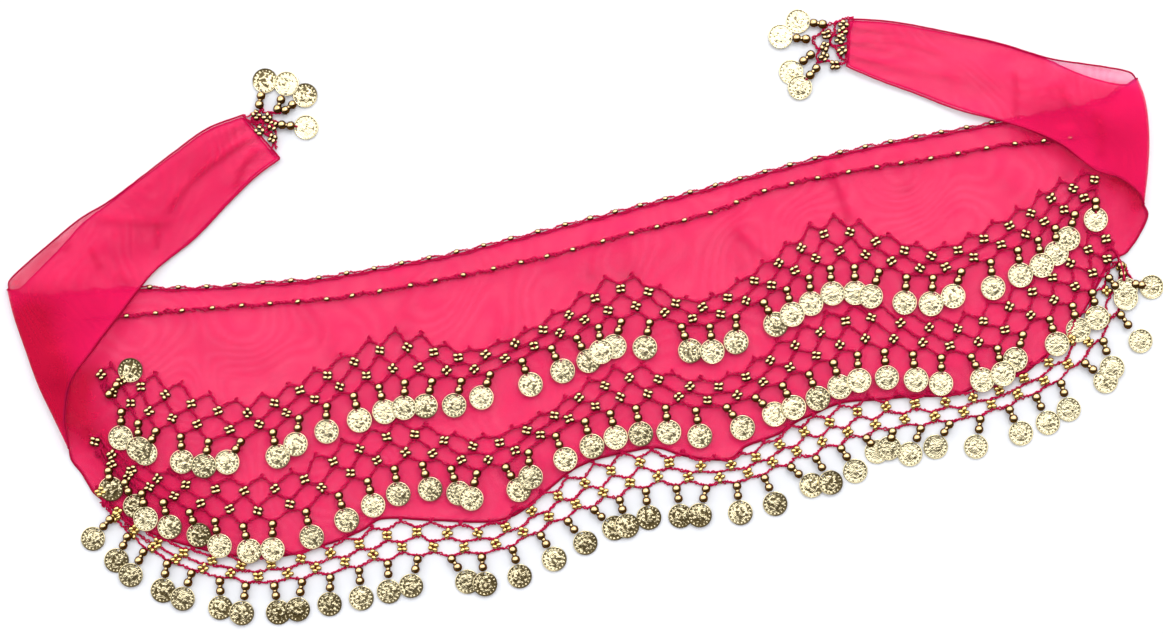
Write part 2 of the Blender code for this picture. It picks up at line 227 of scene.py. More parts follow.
# Coins darker than the rest of their row, and the middles of coins that are placed one by one.
ANTIQUE = {("upper", 0), ("middle", 0), ("middle", 1), ("middle", 4)}
TURNED = {
    "upper": {0: (-375.5, 7), 39: (404, -22)}, "middle": {0: (-408, -83), 38: (416, -88)},
    "hem": {
        0: (-431, -119.5), 1: (-416, -140), 28: (193, -163), 29: (209, -165), 38: (421, -124), 39: (432, -81),
    },
}

# The nets at the ties' ends: chains of thread, places of the bead clusters, and each string's foot, its
# coin's middle and its coin's tone.
LEFT_END_CHAINS = [
    [(-249, 189), (-243, 189), (-238, 190), (-235, 191), (-233, 194)],
    [(-249, 187), (-243, 183), (-238, 178), (-234, 173), (-230, 166), (-227, 159)],
    [(-233, 194), (-232, 189), (-227, 188), (-222, 186), (-219, 186)],
    [(-242, 188), (-238, 182), (-232, 180), (-226, 181), (-221, 178)],
    [(-244, 184), (-239, 186), (-233, 184), (-229, 179), (-226, 174), (-227, 167), (-228, 163)],
    [(-240, 180), (-235, 182), (-231, 177), (-234, 173), (-229, 170)],
    [(-227, 188), (-227, 183), (-230, 182), (-228, 177), (-224, 176)],
    [(-228, 163), (-232, 158), (-230, 154), (-228, 151)],
    [(-243, 186), (-240, 183), (-236, 184), (-233, 181), (-236, 178), (-233, 176)],
    [(-238, 187), (-234, 185), (-236, 181), (-231, 179), (-232, 174), (-228, 172)],
]
LEFT_END_CLUSTERS = [(-238, 188), (-230, 184), (-238, 175), (-229, 167), (-227, 177)]
LEFT_END_STRINGS = [
    (-235, 193, -226, 213.5, 0.8), (-222, 187, -210, 208, 0.3), (-217, 186, -197, 196, 0.7),
    (-222, 177, -201, 171, 0.05),
]
RIGHT_END_CHAINS = [
    [(245, 173), (238, 174), (233, 173), (227, 172), (222, 171)],
    [(222, 171), (218, 167), (214, 165), (209, 163)],
    [(209, 162), (211, 157), (213, 153), (210, 149), (210, 146), (210, 143)],
    [(210, 143), (214, 144), (219, 143), (222, 140), (229, 139), (233, 140)],
    [(245, 173), (242, 167), (238, 162), (237, 155), (236, 149), (233, 143), (233, 139)],
    [(232, 173), (228, 168), (228, 164), (225, 161), (222, 157), (225, 154), (227, 151), (228, 145), (232, 141)],
    [(243, 169), (237, 165), (231, 162), (226, 164), (223, 168)],
    [(237, 155), (232, 154), (227, 154), (223, 155)], [(212, 154), (216, 154), (221, 154)],
]
RIGHT_END_CLUSTERS = [
    (236, 169), (234, 164), (231, 158), (231, 149), (221, 164), (218, 155), (216, 147), (223, 139),
]
RIGHT_END_STRINGS = [
    (222, 172, 201, 179, 0.2), (207, 163, 185, 170, 0.0), (208, 152, 188, 140, 0.0),
    (210, 141, 192.5, 126.5, 0.2),
]

# ---- heights above the table, mm -----------------------------------------------------------------------
BACK = Level(body=0.6, tie=5.3, floor=1.9, fold_out=0.0, trim=0.0)
FRONT = Level(body=1.7, tie=4.0, floor=0.7, fold_out=-1.6, trim=0.9)
CLOTH_TOP = 2.0
DROP = 8                # width over which the trim comes down from the cloth to the table, mm
DROP_END = 7            # how far beyond the cloth's edge it is down, mm
COIN_STEP = 1.15        # how far a coin that lies across another is lifted, mm

# ---- grid of the cloth ---------------------------------------------------------------------------------
BODY_COLUMNS = 300
FOLD_ROWS = 60
CORNER_ROWS = 14
TIE_COLUMNS = 130
LOOP_COLUMNS = 8
LOOP_REACH = 1.9        # half-width of the loop at a fold, mm

# ---- thread, beads and coins ---------------------------------------------------------------------------
THREAD_STEP = 1.2       # spacing of the points of a thread's line, mm
CELLS = 40              # cells along a net
STRING = 24.6           # length of a string from its foot to its coin's middle, mm
# How far down a string each bead is in mm, its share of its size in the settings, and its pattern.
STRING_BEADS = ((2.9, 1.06, LARGE), (6.9, 1.22, SMALL), (10.8, 1.04, LARGE))
# The peaks of the waist edging: where one of them is, their spacing in mm, and which there are.
PEAKS = ((-348, 22.35, range(-4, 15)), (-12.7, 20.6, range(0, 23)))
FIRST_LINE_BEAD = 35.4  # how far along the bead line its first bead is, mm
LINE_BEAD_STEP = 22.62  # spacing of its beads, mm
HOLE = 0.83             # how far from a coin's middle its hole is, in coin radii
COIN_SIDES = 32
COIN_RINGS = (0.20, 0.40, 0.60, 0.72, 0.80, 0.88, 0.935, 0.97, 1.0)
COIN_FIELD = 0.62       # how far out the pattern goes, in coin radii
COIN_PATTERNS = ((8, 1.5, 0.5), (6, -2.2, 0.9), (10, 0.6, 0.3))     # petals, their twist and the boss
# Coins' tones, from 0 for pale to 1 for dark: at the rows' right, in the hem's row and in the others.
PALE_TONES = (0.0, 0.05, 0.1, 0.3)
DARK_TONES = (0.65, 0.75, 0.85, 0.95)
MIXED_TONES = (0.1, 0.25, 0.4, 0.5, 0.6)
PALE_FROM = 27          # the string from which a row's coins are pale
# Each row's ribs, leans, share of the strings' length, height of its coins above the cloth, tones and seed.
BANDS = {
    "upper": (UPPER_RIBS, UPPER_LEANS, 0.92, 1.8, MIXED_TONES, 21),
    "middle": (MIDDLE_RIBS, MIDDLE_LEANS, 0.92, 1.8, MIXED_TONES, 22),
    "hem": (HEM_RIBS, HEM_LEANS, 1.0, 0.2, DARK_TONES, 23),
}


# ---- curves --------------------------------------------------------------------------------------------
def smooth(knots, values, at):
    """Values on the smooth curve through a table's rows, at the places in at."""
    knots, values, at = (np.asarray(a, float) for a in (knots, values, at))
    shape = values.shape[1:]
    values = values.reshape(len(values), -1)
    last = len(knots) - 1
    low, high = np.maximum(np.arange(last + 1) - 1, 0), np.minimum(np.arange(last + 1) + 1, last)
    slopes = (values[high] - values[low]) / (knots[high] - knots[low])[:, None]
    span = np.clip(np.searchsorted(knots, at, side="right") - 1, 0, last - 1)
    width = (knots[span + 1] - knots[span])[:, None]
    t = (at - knots[span])[:, None] / width
    out = (
        (2 * t**3 - 3 * t**2 + 1) * values[span] + (t**3 - 2 * t**2 + t) * width * slopes[span]
        + (3 * t**2 - 2 * t**3) * values[span + 1] + (t**3 - t**2) * width * slopes[span + 1]
    )
    return out.reshape((len(at),) + shape)


def runs(points):
    """How far along a line each of its points lies."""
    return np.r_[0, np.cumsum(np.linalg.norm(np.diff(points, axis=0), axis=1))]


def divided(points, count):
    """count + 1 evenly spaced points on the smooth curve through a line's points."""
    points = np.asarray(points, float)
    fine = smooth(runs(points), points, np.linspace(0, runs(points)[-1], 12 * len(points) + 4 * count))
    run = runs(fine)
    even = np.linspace(0, run[-1], count + 1)
    return np.column_stack([np.interp(even, run, fine[:, k]) for k in range(fine.shape[1])])


def drawn(points, step=THREAD_STEP):
    """Points about a step apart on the smooth curve through a line's points."""
    return divided(points, max(2, round(runs(np.asarray(points, float))[-1] / step)))


def level_y(line, x):
    """The line's Y at each X."""
    line = np.asarray(line, float)
    return smooth(line[:, 0], line[:, 1], np.clip(x, line[0, 0], line[-1, 0]))


def waist_y(x):
    """The waist edge's Y at one X."""
    return level_y(WAIST, [x])[0]


def ease(t):
    """A soft step from 0 to 1."""
    t = np.clip(t, 0, 1)
    return t * t * (3 - 2 * t)


def bell(away, width):
    """1 on a line, falling to nothing over its width."""
    return np.exp(-((away / width) ** 2))


def nearest(xy, line):
    """Each point's distance from a line, and the share of the line's length where it is nearest."""
    gaps = np.linalg.norm(xy[:, None, :] - line[None, :, :], axis=2)
    place = gaps.argmin(axis=1)
    return gaps[np.arange(len(xy)), place], place / (len(line) - 1)


# ---- the lie of the cloth ------------------------------------------------------------------------------
def creased_and_shaded(xy, creases_and_shadows):
    """How high the folds lift the cloth, in mm, and how much they deepen its colour, as denser cloth and as
    painted shade, at points in plan.
    """
    lift, gather = np.zeros(len(xy)), np.zeros(len(xy))
    for height, width, gather_and_shade_amount, line in creases_and_shadows:
        away, share = nearest(xy, drawn(line, min(2, width / 5)))
        swell = bell(away, width) * ease(np.minimum(share, 1 - share) * 5 + 0.15)
        lift += height * swell
        gather += gather_and_shade_amount * swell
    return lift, gather


def deepened(xy):
    """How much deeper the cloth's colour is at points in plan."""
    return sum(amount * bell(nearest(xy, drawn(line, 3))[0], DEEP_WIDTH) for line, amount in DEEP)


def waves(xy, size, seed):
    """A gentle unevenness between 0 and 1 at points in plan."""
    return np.array([0.5 + 0.5 * noise.noise(Vector((x / size, y / size, seed))) for x, y in xy])


def body_rise(xy):
    """The lift of the sash between its folds, and how much deeper its colour is, from gathered cloth and painted
    shade.
    """
    lift, gather = creased_and_shaded(xy, BODY_CREASES_AND_SHADOWS)
    return lift + 0.9 * waves(xy, 55, 3.1), gather


def inside_body(xy):
    """How far each point lies inside the sash's waist and hem, in mm, and below 0 where it is outside."""
    over = level_y(WAIST, xy[:, 0]) - xy[:, 1]
    hem_gap, _ = nearest(xy, drawn(LEFT_CORNER[:-1] + HEM + RIGHT_CORNER[-2::-1], 3))
    above = xy[:, 1] > level_y(HEM, xy[:, 0])
    return np.minimum(over, np.where(above, hem_gap, -hem_gap))


def cloth_top(xy):
    """The height of what a trim piece lies on: the front layer, or the table beyond it."""
    xy = np.asarray(xy, float).reshape(-1, 2)
    lift, _ = body_rise(xy)
    return (CLOTH_TOP + lift) * ease((inside_body(xy) + DROP_END) / DROP)


# ---- meshes --------------------------------------------------------------------------------------------
def add_attribute(mesh, name, kind, values):
    """Stores one value for each point of a mesh."""
    field = "vector" if kind == "FLOAT_VECTOR" else "value"
    mesh.attributes.new(name, kind, "POINT").data.foreach_set(field, np.asarray(values).ravel())


def lines_mesh(name, lines):
    """A mesh of loose edges from lines of (x, y, z) points in mm."""
    points, edges = [], []
    for line in lines:
        edges += [(len(points) + i, len(points) + i + 1) for i in range(len(line) - 1)]
        points += [tuple(p) for p in np.asarray(line) * MM]
    mesh = bpy.data.meshes.new(name)
    mesh.from_pydata(points, edges, [])
    return mesh


def places_mesh(name, places):
    """A mesh of loose points, each with the turn, size, pattern and wear of what stands there: a coin's blots
    and tone, or a bead's painted light from the table.
    """
    mesh = bpy.data.meshes.new(name)
    mesh.from_pydata([tuple(np.asarray(p["at"], float) * MM) for p in places], [], [])
    add_attribute(mesh, "turn", "FLOAT_VECTOR", [p["turn"] for p in places])
    add_attribute(mesh, "size", "FLOAT", [p["size"] * MM for p in places])
    add_attribute(mesh, "pattern", "INT", [p["pattern"] for p in places])
    add_attribute(mesh, "wear", "FLOAT", [p.get("wear", 0.0) for p in places])
    return mesh


def show(piece, slot, *nodes):
    """Puts a finished piece on the scarf's body, in place of its CAD nodes. Its slot is not used."""
    bpy.context.scene.collection.objects.link(piece)
    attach(piece, BODY)
    if nodes:
        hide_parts(*nodes)


# ---- node trees ----------------------------------------------------------------------------------------
def node(tree, kind, inputs=None, **settings):
    """A node with its settings made and its inputs linked or set."""
    made = tree.nodes.new(kind)
    for key, value in settings.items():
        setattr(made, key, value)
    for key, value in (inputs or {}).items():
        if isinstance(value, bpy.types.NodeSocket):
            tree.links.new(value, made.inputs[key])
        else:
            made.inputs[key].default_value = value
    return made


def new_tree(name, kind, inputs, outputs):
    """A node group with named sockets, its given values and its output node."""
    tree = bpy.data.node_groups.new(name, kind)
    for in_out, sockets in (("INPUT", inputs), ("OUTPUT", outputs)):
        for label, socket in sockets.items():
            tree.interface.new_socket(label, in_out=in_out, socket_type="NodeSocket" + socket)
    return tree, tree.nodes.new("NodeGroupInput").outputs, tree.nodes.new("NodeGroupOutput")


def shape_math(tree, kind, operation, *values):
    """A maths node's result."""
    return node(tree, kind, dict(enumerate(values)), operation=operation).outputs[0]


def maths(tree, operation, *values):
    """An operation on numbers."""
    return shape_math(tree, "ShaderNodeMath", operation, *values)


def vectors(tree, operation, *values):
    """An operation on vectors that gives a vector."""
    return shape_math(tree, "ShaderNodeVectorMath", operation, *values)


def measured(tree, operation, *values):
    """An operation on vectors that gives a number."""
    return vectors(tree, operation, *values).node.outputs["Value"]


def scaled(tree, vector, by):
    """A vector scaled by a number."""
    return node(tree, "ShaderNodeVectorMath", {0: vector, "Scale": by}, operation="SCALE").outputs[0]


def blotches(tree, where, scale, detail=2.0, **more):
    """Soft uneven patches between 0 and 1. W, where it is given, picks other patches."""
    inputs = {"Vector": where, "Scale": scale, "Detail": detail, **more}
    return node(tree, "ShaderNodeTexNoise", inputs, noise_dimensions="4D" if more else "3D").outputs[0]


def wander(tree, where, scale, by, **more):
    """A soft uneven shift, by up to half of a length each way."""
    rough = blotches(tree, where, scale, **more).node.outputs["Color"]
    return scaled(tree, vectors(tree, "SUBTRACT", rough, (0.5, 0.5, 0.5)), by)


def named(tree, name, kind):
    """A stored attribute, read in a geometry tree."""
    return node(tree, "GeometryNodeInputNamedAttribute", {"Name": name}, data_type=kind).outputs["Attribute"]


def spaced_curve(tree, mesh, step, **chosen):
    """Curves along a mesh's edges, with evenly spaced points."""
    curve = node(tree, "GeometryNodeMeshToCurve", {"Mesh": mesh, **chosen}).outputs[0]
    return node(tree, "GeometryNodeResampleCurve", {"Curve": curve, "Length": step}, mode="LENGTH").outputs[0]


def tube(tree, curve, radius, sides):
    """A tube along a curve, closed at its ends."""
    ring = node(tree, "GeometryNodeCurvePrimitiveCircle", {"Resolution": sides, "Radius": radius}).outputs[0]
    inputs = {"Curve": curve, "Profile Curve": ring, "Fill Caps": True}
    return node(tree, "GeometryNodeCurveToMesh", inputs).outputs[0]


def finish_tree(tree, geometry, finish, out):
    """Realizes what a geometry tree has made and gives it its material."""
    real = node(tree, "GeometryNodeRealizeInstances", {"Geometry": geometry})
    done = node(tree, "GeometryNodeSetMaterial", {"Geometry": real.outputs[0], "Material": finish})
    tree.links.new(done.outputs[0], out.inputs[0])
    return tree


def crochet_tree(name):
    """Two plies of thread twisted along each line of a mesh."""
    tree, given, out = new_tree(name, "GeometryNodeTree", {
        "Lines": "Geometry", "Step": "Float", "Lay": "Float", "Spread": "Float", "Ply Radius": "Float",
        "Unevenness": "Float", "Thread": "Material",
    }, {"Geometry": "Geometry"})
    curve = spaced_curve(tree, given["Lines"], given["Step"])
    normal = node(tree, "GeometryNodeInputNormal").outputs[0]
    side = vectors(tree, "CROSS_PRODUCT", node(tree, "GeometryNodeInputTangent").outputs[0], normal)
    run = node(tree, "GeometryNodeSplineParameter").outputs["Length"]
    turns = maths(tree, "MULTIPLY", maths(tree, "DIVIDE", run, given["Lay"]), math.tau)
    place = node(tree, "GeometryNodeInputPosition").outputs[0]
    join = node(tree, "GeometryNodeJoinGeometry")
    for ply in range(2):
        turn = maths(tree, "ADD", turns, ply * math.pi)
        out_by = scaled(tree, normal, maths(tree, "MULTIPLY", maths(tree, "COSINE", turn), given["Spread"]))
        side_by = scaled(tree, side, maths(tree, "MULTIPLY", maths(tree, "SINE", turn), given["Spread"]))
        shift = wander(tree, place, 380.0, given["Unevenness"], W=7.0 * ply)
        offset = vectors(tree, "ADD", vectors(tree, "ADD", out_by, side_by), shift)
        moved = node(tree, "GeometryNodeSetPosition", {"Geometry": curve, "Offset": offset}).outputs[0]
        knots = blotches(tree, place, 420.0, 0.0, W=3.0 + ply)
        thick = maths(tree, "MAXIMUM", maths(tree, "MULTIPLY_ADD", knots, 5.0, -1.5), 0.6)
        moved = node(tree, "GeometryNodeSetCurveRadius", {"Curve": moved, "Radius": thick}).outputs[0]
        tree.links.new(tube(tree, moved, given["Ply Radius"], 4), join.inputs[0])
    soft = node(tree, "GeometryNodeSetShadeSmooth", {"Geometry": join.outputs[0]}).outputs[0]
    return finish_tree(tree, soft, given["Thread"], out)


def placing_tree(name):
    """One of a set of small pieces at each point of a mesh, with the point's turn, size and pattern."""
    tree, given, out = new_tree(name, "GeometryNodeTree", {
        "Points": "Geometry", "Pieces": "Collection", "Finish": "Material",
    }, {"Geometry": "Geometry"})
    pieces = node(tree, "GeometryNodeCollectionInfo", {
        "Collection": given["Pieces"], "Separate Children": True, "Reset Children": True,
    }).outputs[0]
    turn = node(tree, "FunctionNodeEulerToRotation", {"Euler": named(tree, "turn", "FLOAT_VECTOR")}).outputs[0]
    placed = node(tree, "GeometryNodeInstanceOnPoints", {
        "Points": given["Points"], "Instance": pieces, "Pick Instance": True,
        "Instance Index": named(tree, "pattern", "INT"), "Rotation": turn,
        "Scale": named(tree, "size", "FLOAT"),
    }).outputs[0]
    return finish_tree(tree, placed, given["Finish"], out)


def rolled_hem_tree(name):
    """A narrow roll of cloth along the edges of a sheet."""
    tree, given, out = new_tree(name, "GeometryNodeTree", {
        "Sheet": "Geometry", "Step": "Float", "Roll Radius": "Float", "Unevenness": "Float",
        "Cloth": "Material",
    }, {"Geometry": "Geometry"})
    faces = node(tree, "GeometryNodeInputMeshEdgeNeighbors").outputs[0]
    edge = node(tree, "FunctionNodeCompare", {2: faces, 3: 1}, data_type="INT", operation="EQUAL").outputs[0]
    curve = spaced_curve(tree, given["Sheet"], given["Step"], Selection=edge)
    place = node(tree, "GeometryNodeInputPosition").outputs[0]
    shift = wander(tree, place, 160.0, given["Unevenness"])
    curve = node(tree, "GeometryNodeSetPosition", {"Geometry": curve, "Offset": shift}).outputs[0]
    rolled = tube(tree, curve, given["Roll Radius"], 6)
    soft = node(tree, "GeometryNodeSetShadeSmooth", {"Geometry": rolled}).outputs[0]
    return finish_tree(tree, soft, given["Cloth"], out)


TREES = {"Crochet thread": crochet_tree, "Set on points": placing_tree, "Rolled hem": rolled_hem_tree}


def grown(name, mesh, rule, **inputs):
    """A plain mesh object, made by running one of TREES on a guide mesh and kept above the table."""
    tree = bpy.data.node_groups.get(rule) or TREES[rule](rule)
    guide = bpy.data.objects.new(name + "_guide", mesh)
    bpy.context.scene.collection.objects.link(guide)
    modifier = guide.modifiers.new(tree.name, "NODES")
    modifier.node_group = tree
    keys = {item.name: item.identifier for item in tree.interface.items_tree if item.in_out == "INPUT"}
    for label, value in inputs.items():
        modifier[keys[label.replace("_", " ")]] = value
    graph = bpy.context.evaluated_depsgraph_get()
    made = bpy.data.meshes.new_from_object(guide.evaluated_get(graph), depsgraph=graph)
    guide.modifiers.remove(modifier)
    bpy.data.objects.remove(guide)
    if not made.polygons:
        raise RuntimeError(f"{name}: the node tree made nothing")
    made.name = name
    points = np.zeros(3 * len(made.vertices), np.float32)
    made.vertices.foreach_get("co", points)
    points[2::3] = np.maximum(points[2::3], 0)
    made.vertices.foreach_set("co", points)
    made.update()
    return bpy.data.objects.new(name, made)


# ---- materials -----------------------------------------------------------------------------------------
def new_material(name, **values):
    """A material with one Principled shader and the values that are the same all over it."""
    made = bpy.data.materials.new(name)
    made.use_nodes = True
    shader = made.node_tree.nodes["Principled BSDF"]
    for key, value in values.items():
        shader.inputs[key.replace("_", " ")].default_value = value
    return made, made.node_tree, shader


def bump(tree, shader, height, distance, strength=1.0):
    """Raises a shader's surface by a height."""
    raised = node(tree, "ShaderNodeBump", {"Height": height, "Distance": distance, "Strength": strength})
    tree.links.new(raised.outputs[0], shader.inputs["Normal"])


def mix_colour(tree, share, first, second):
    """Two colours mixed by a share."""
    ends = [c if isinstance(c, bpy.types.NodeSocket) else (*c, 1) for c in (first, second)]
    inputs = {"Factor": share, 6: ends[0], 7: ends[1]}
    return node(tree, "ShaderNodeMix", inputs, data_type="RGBA").outputs[2]


def fade(tree, value, start, end):
    """A soft step from 0 to 1 as a value goes from start to end."""
    inputs = {"Value": value, "From Min": start, "From Max": end}
    return node(tree, "ShaderNodeMapRange", inputs, interpolation_type="SMOOTHSTEP").outputs[0]


def group_outputs(tree, name, make, inputs):
    """What a shader node group puts out in a material. It is built the first time that it is asked for."""
    group = bpy.data.node_groups.get(name) or make(name)
    return node(tree, "ShaderNodeGroup", inputs, node_tree=group).outputs


def weave_group(name):
    """A plain open weave with slubs and a slow watery pattern where two layers lie together."""
    tree, given, out = new_tree(name, "ShaderNodeTree", {
        "Vector": "Vector", "Threads": "Float", "Water": "Float",
    }, {"Height": "Float", "Cover": "Float"})
    where = given["Vector"]
    parts = node(tree, "ShaderNodeSeparateXYZ", {0: where}).outputs
    warp, weft = (
        maths(tree, "SINE", maths(tree, "MULTIPLY", maths(tree, "MULTIPLY", part, given["Threads"]), math.tau))
        for part in (parts[0], parts[1])
    )
    slub = blotches(tree, where, 900.0)
    height = maths(tree, "ADD", maths(tree, "ADD", warp, weft), maths(tree, "MULTIPLY", slub, 1.6))
    tree.links.new(height, out.inputs["Height"])
    rings = maths(tree, "SINE", maths(tree, "MULTIPLY", blotches(tree, where, 9.0, 1.0), 170.0))
    cover = maths(tree, "MULTIPLY", rings, given["Water"])
    for patches in (blotches(tree, where, 38.0, 4.0), slub):
        uneven = maths(tree, "MULTIPLY", maths(tree, "SUBTRACT", patches, 0.5), 0.35)
        cover = maths(tree, "ADD", cover, uneven)
    tree.links.new(maths(tree, "ADD", cover, 1.0), out.inputs["Cover"])
    return tree


def chiffon_material(settings):
    """Sheer chiffon: each face covers a share of what lies behind it, and more, in a deeper colour, where the
    cloth is gathered or painted with shade.
    """
    made, tree, shader = new_material("sheer_chiffon", Roughness=0.75, Specular_IOR_Level=0.12)
    made.use_transparent_shadow = True
    where = node(tree, "ShaderNodeUVMap", uv_map="UVMap").outputs[0]
    weave = group_outputs(tree, "Open weave", weave_group, {"Vector": where, "Threads": 900.0, "Water": 0.07})
    gather = node(tree, "ShaderNodeAttribute", attribute_name="gather").outputs["Fac"]
    dense = maths(tree, "MULTIPLY", gather, weave["Cover"])
    cover = maths(tree, "SUBTRACT", 1.0, maths(tree, "POWER", 1 - settings.face_cover, dense))
    shadow = node(tree, "ShaderNodeLightPath").outputs["Is Shadow Ray"]
    thin = maths(tree, "SUBTRACT", 1.0, maths(tree, "MULTIPLY", shadow, settings.light_through))
    tree.links.new(maths(tree, "MULTIPLY", cover, thin), shader.inputs["Alpha"])
    deep = maths(tree, "SUBTRACT", gather, 1.0)
    body = mix_colour(tree, deep, settings.colour, settings.deep_colour)
    pale = maths(tree, "MULTIPLY", maths(tree, "SUBTRACT", 1.0, gather), 2.0)
    tree.links.new(mix_colour(tree, pale, body, settings.pale_colour), shader.inputs["Base Color"])
    bump(tree, shader, weave["Height"], 0.00004, 0.3)
    return made


def hem_material(settings):
    """The same chiffon, rolled tight."""
    made, tree, shader = new_material("rolled_chiffon", Roughness=0.8, Specular_IOR_Level=0.12)
    made.use_transparent_shadow = True
    spots = blotches(tree, node(tree, "ShaderNodeTexCoord").outputs["Object"], 300.0)
    dyed = mix_colour(tree, spots, settings.hem_colour, settings.deep_colour)
    tree.links.new(dyed, shader.inputs["Base Color"])
    shader.inputs["Alpha"].default_value = settings.hem_cover
    bump(tree, shader, spots, 0.0003)
    return made


def thread_material(settings):
    """Soft spun thread, darker between its fibres."""
    made, tree, shader = new_material("spun_thread", Roughness=0.85, Specular_IOR_Level=0.15)
    where = node(tree, "ShaderNodeTexCoord").outputs["Object"]
    fibres = blotches(tree, where, 1400.0)
    patches = blotches(tree, where, 120.0)
    share = maths(tree, "MULTIPLY", maths(tree, "ADD", fibres, patches), 0.55)
    spun = mix_colour(tree, share, settings.dark_thread, settings.light_thread)
    tree.links.new(spun, shader.inputs["Base Color"])
    bump(tree, shader, fibres, 0.0003, 0.8)
    return made


def wear_group(name):
    """Rubbed gold plate: clean and worn patches, and fine scratches."""
    tree, given, out = new_tree(name, "ShaderNodeTree", {
        "Vector": "Vector", "Patch Scale": "Float", "Roughness": "Float", "Change": "Float",
    }, {"Roughness": "Float", "Tarnish": "Float"})
    patches = blotches(tree, given["Vector"], given["Patch Scale"], 3.0)
    lines = blotches(tree, vectors(tree, "MULTIPLY", given["Vector"], (3000.0, 260.0, 260.0)), 1.0)
    worn = maths(tree, "ADD", patches, maths(tree, "MULTIPLY", lines, 0.4))
    change = maths(tree, "MULTIPLY", maths(tree, "SUBTRACT", worn, 0.7), given["Change"])
    tree.links.new(maths(tree, "ADD", given["Roughness"], change), out.inputs["Roughness"])
    tree.links.new(patches, out.inputs["Tarnish"])
    return tree


def plate_nodes(tree, patch_scale, roughness, change):
    """Rubbed plate with a material's own values."""
    return group_outputs(tree, "Rubbed plate", wear_group, {
        "Vector": node(tree, "ShaderNodeTexCoord").outputs["Object"], "Patch Scale": patch_scale,
        "Roughness": roughness, "Change": change,
    })


def bead_material(settings):
    """Polished gold-plated beads, with painted shade low on their sides, more towards -Y. A wear of 1 paints the
    light that the bare table throws up: a brighter yellow plate and less painted shade.
    """
    made, tree, shader = new_material("gold_bead", Metallic=1.0, Specular_Tint=(0.55, 0.36, 0.16, 1))
    plate = plate_nodes(tree, 500.0, settings.bead_roughness, 0.15)
    tree.links.new(plate["Roughness"], shader.inputs["Roughness"])
    metal = mix_colour(tree, plate["Tarnish"], settings.bead_gold, settings.pale_bead)
    # On beads, wear is painted light: it stands in for the light that the bare table throws up on the hem net's
    # beads.
    painted_table_light = node(tree, "ShaderNodeAttribute", attribute_name="wear").outputs["Fac"]
    metal = mix_colour(tree, painted_table_light, metal, (1.0, 0.72, 0.26))
    # Painted shade: the plate turns dark brown low on each bead's sides and towards -Y, where the beads would be
    # in shadow; painted table light lessens it.
    normal = node(tree, "ShaderNodeNewGeometry").outputs["Normal"]
    low = fade(tree, measured(tree, "DOT_PRODUCT", normal, (-0.10, 0.30, 0.95)), 0.92, 0.64)
    low = maths(tree, "MULTIPLY", low, maths(tree, "MULTIPLY_ADD", painted_table_light, -0.45, 1.0))
    tree.links.new(mix_colour(tree, low, metal, (0.10, 0.042, 0.008)), shader.inputs["Base Color"])
    return made


def coin_material(settings):
    """Thin stamped coins: pale plate on what stands proud, dark in the hollows of the relief, with painted shade
    on one side of each face.

    A coin's wear is a whole number, which picks its blots, plus its tone.
    """
    made, tree, shader = new_material("gold_coin", Metallic=1.0)
    plate = plate_nodes(tree, 220.0, settings.coin_roughness, 0.12)
    where = node(tree, "ShaderNodeUVMap", uv_map="UVMap").outputs[0]
    flat = vectors(tree, "SUBTRACT", where, (0.5, 0.5, 0.0))
    parts = node(tree, "ShaderNodeSeparateXYZ", {0: flat}).outputs
    radius = measured(tree, "LENGTH", flat)
    angle = maths(tree, "ARCTAN2", parts[1], parts[0])
    wear = node(tree, "ShaderNodeAttribute", attribute_name="wear").outputs["Fac"]
    tone = maths(tree, "FRACT", wear)

    swirls = []
    for turns, rings in ((5.0, 30.0), (3.0, 64.0)):
        outward = maths(tree, "MULTIPLY", radius, rings)
        phase = maths(tree, "ADD", maths(tree, "MULTIPLY", angle, turns), outward)
        swirls.append(maths(tree, "SINE", phase))
    figure = maths(tree, "MULTIPLY", *swirls)
    rough = blotches(tree, where, 6.5, 1.0, W=maths(tree, "MULTIPLY", wear, 40.0))
    blots = maths(tree, "MULTIPLY", maths(tree, "SUBTRACT", rough, 0.5), 4.2)
    inner, outer = (maths(tree, "LESS_THAN", radius, edge) for edge in (0.33, 0.45))
    field = maths(tree, "MULTIPLY_ADD", inner, 0.65, maths(tree, "MULTIPLY", outer, 0.35))
    relief = maths(tree, "MULTIPLY", maths(tree, "MULTIPLY_ADD", figure, 0.4, blots), field)
    beading = maths(tree, "SINE", maths(tree, "MULTIPLY", angle, 18.0))
    band = maths(tree, "MULTIPLY", maths(tree, "COMPARE", radius, 0.405, 0.028), 0.5)
    relief = maths(tree, "ADD", relief, maths(tree, "MULTIPLY", beading, band))
    groove = maths(tree, "MULTIPLY", maths(tree, "COMPARE", radius, 0.447, 0.010), -0.75)
    relief = maths(tree, "ADD", relief, groove)

    # Painted shade: one side of each coin's face is pushed towards the dark of the patina, standing in for the
    # uneven reflection of the lamps.
    painted_shade_slant = measured(tree, "DOT_PRODUCT", flat, (-0.40, 0.50, 0.0))
    shade = maths(tree, "MULTIPLY_ADD", tone, -0.70, 0.48)
    hollow_and_shade = fade(tree, maths(tree, "ADD", maths(tree, "ADD", relief, painted_shade_slant), shade), 0.04, -0.22)
    dark = maths(tree, "MULTIPLY", hollow_and_shade, maths(tree, "MULTIPLY_ADD", tone, 0.18, settings.patina))
    metal = mix_colour(tree, maths(tree, "MULTIPLY", tone, 0.3), settings.pale_gold, settings.gold)
    tree.links.new(mix_colour(tree, dark, metal, (0.09, 0.062, 0.02)), shader.inputs["Base Color"])
    dull = maths(tree, "ADD", plate["Roughness"], maths(tree, "MULTIPLY", dark, 0.25))
    tree.links.new(dull, shader.inputs["Roughness"])
    bump(tree, shader, relief, 0.0002, 0.7)
    return made


def material(name, make, settings):
    """A material by name, made the first time that it is asked for."""
    return bpy.data.materials.get(name) or make(settings)


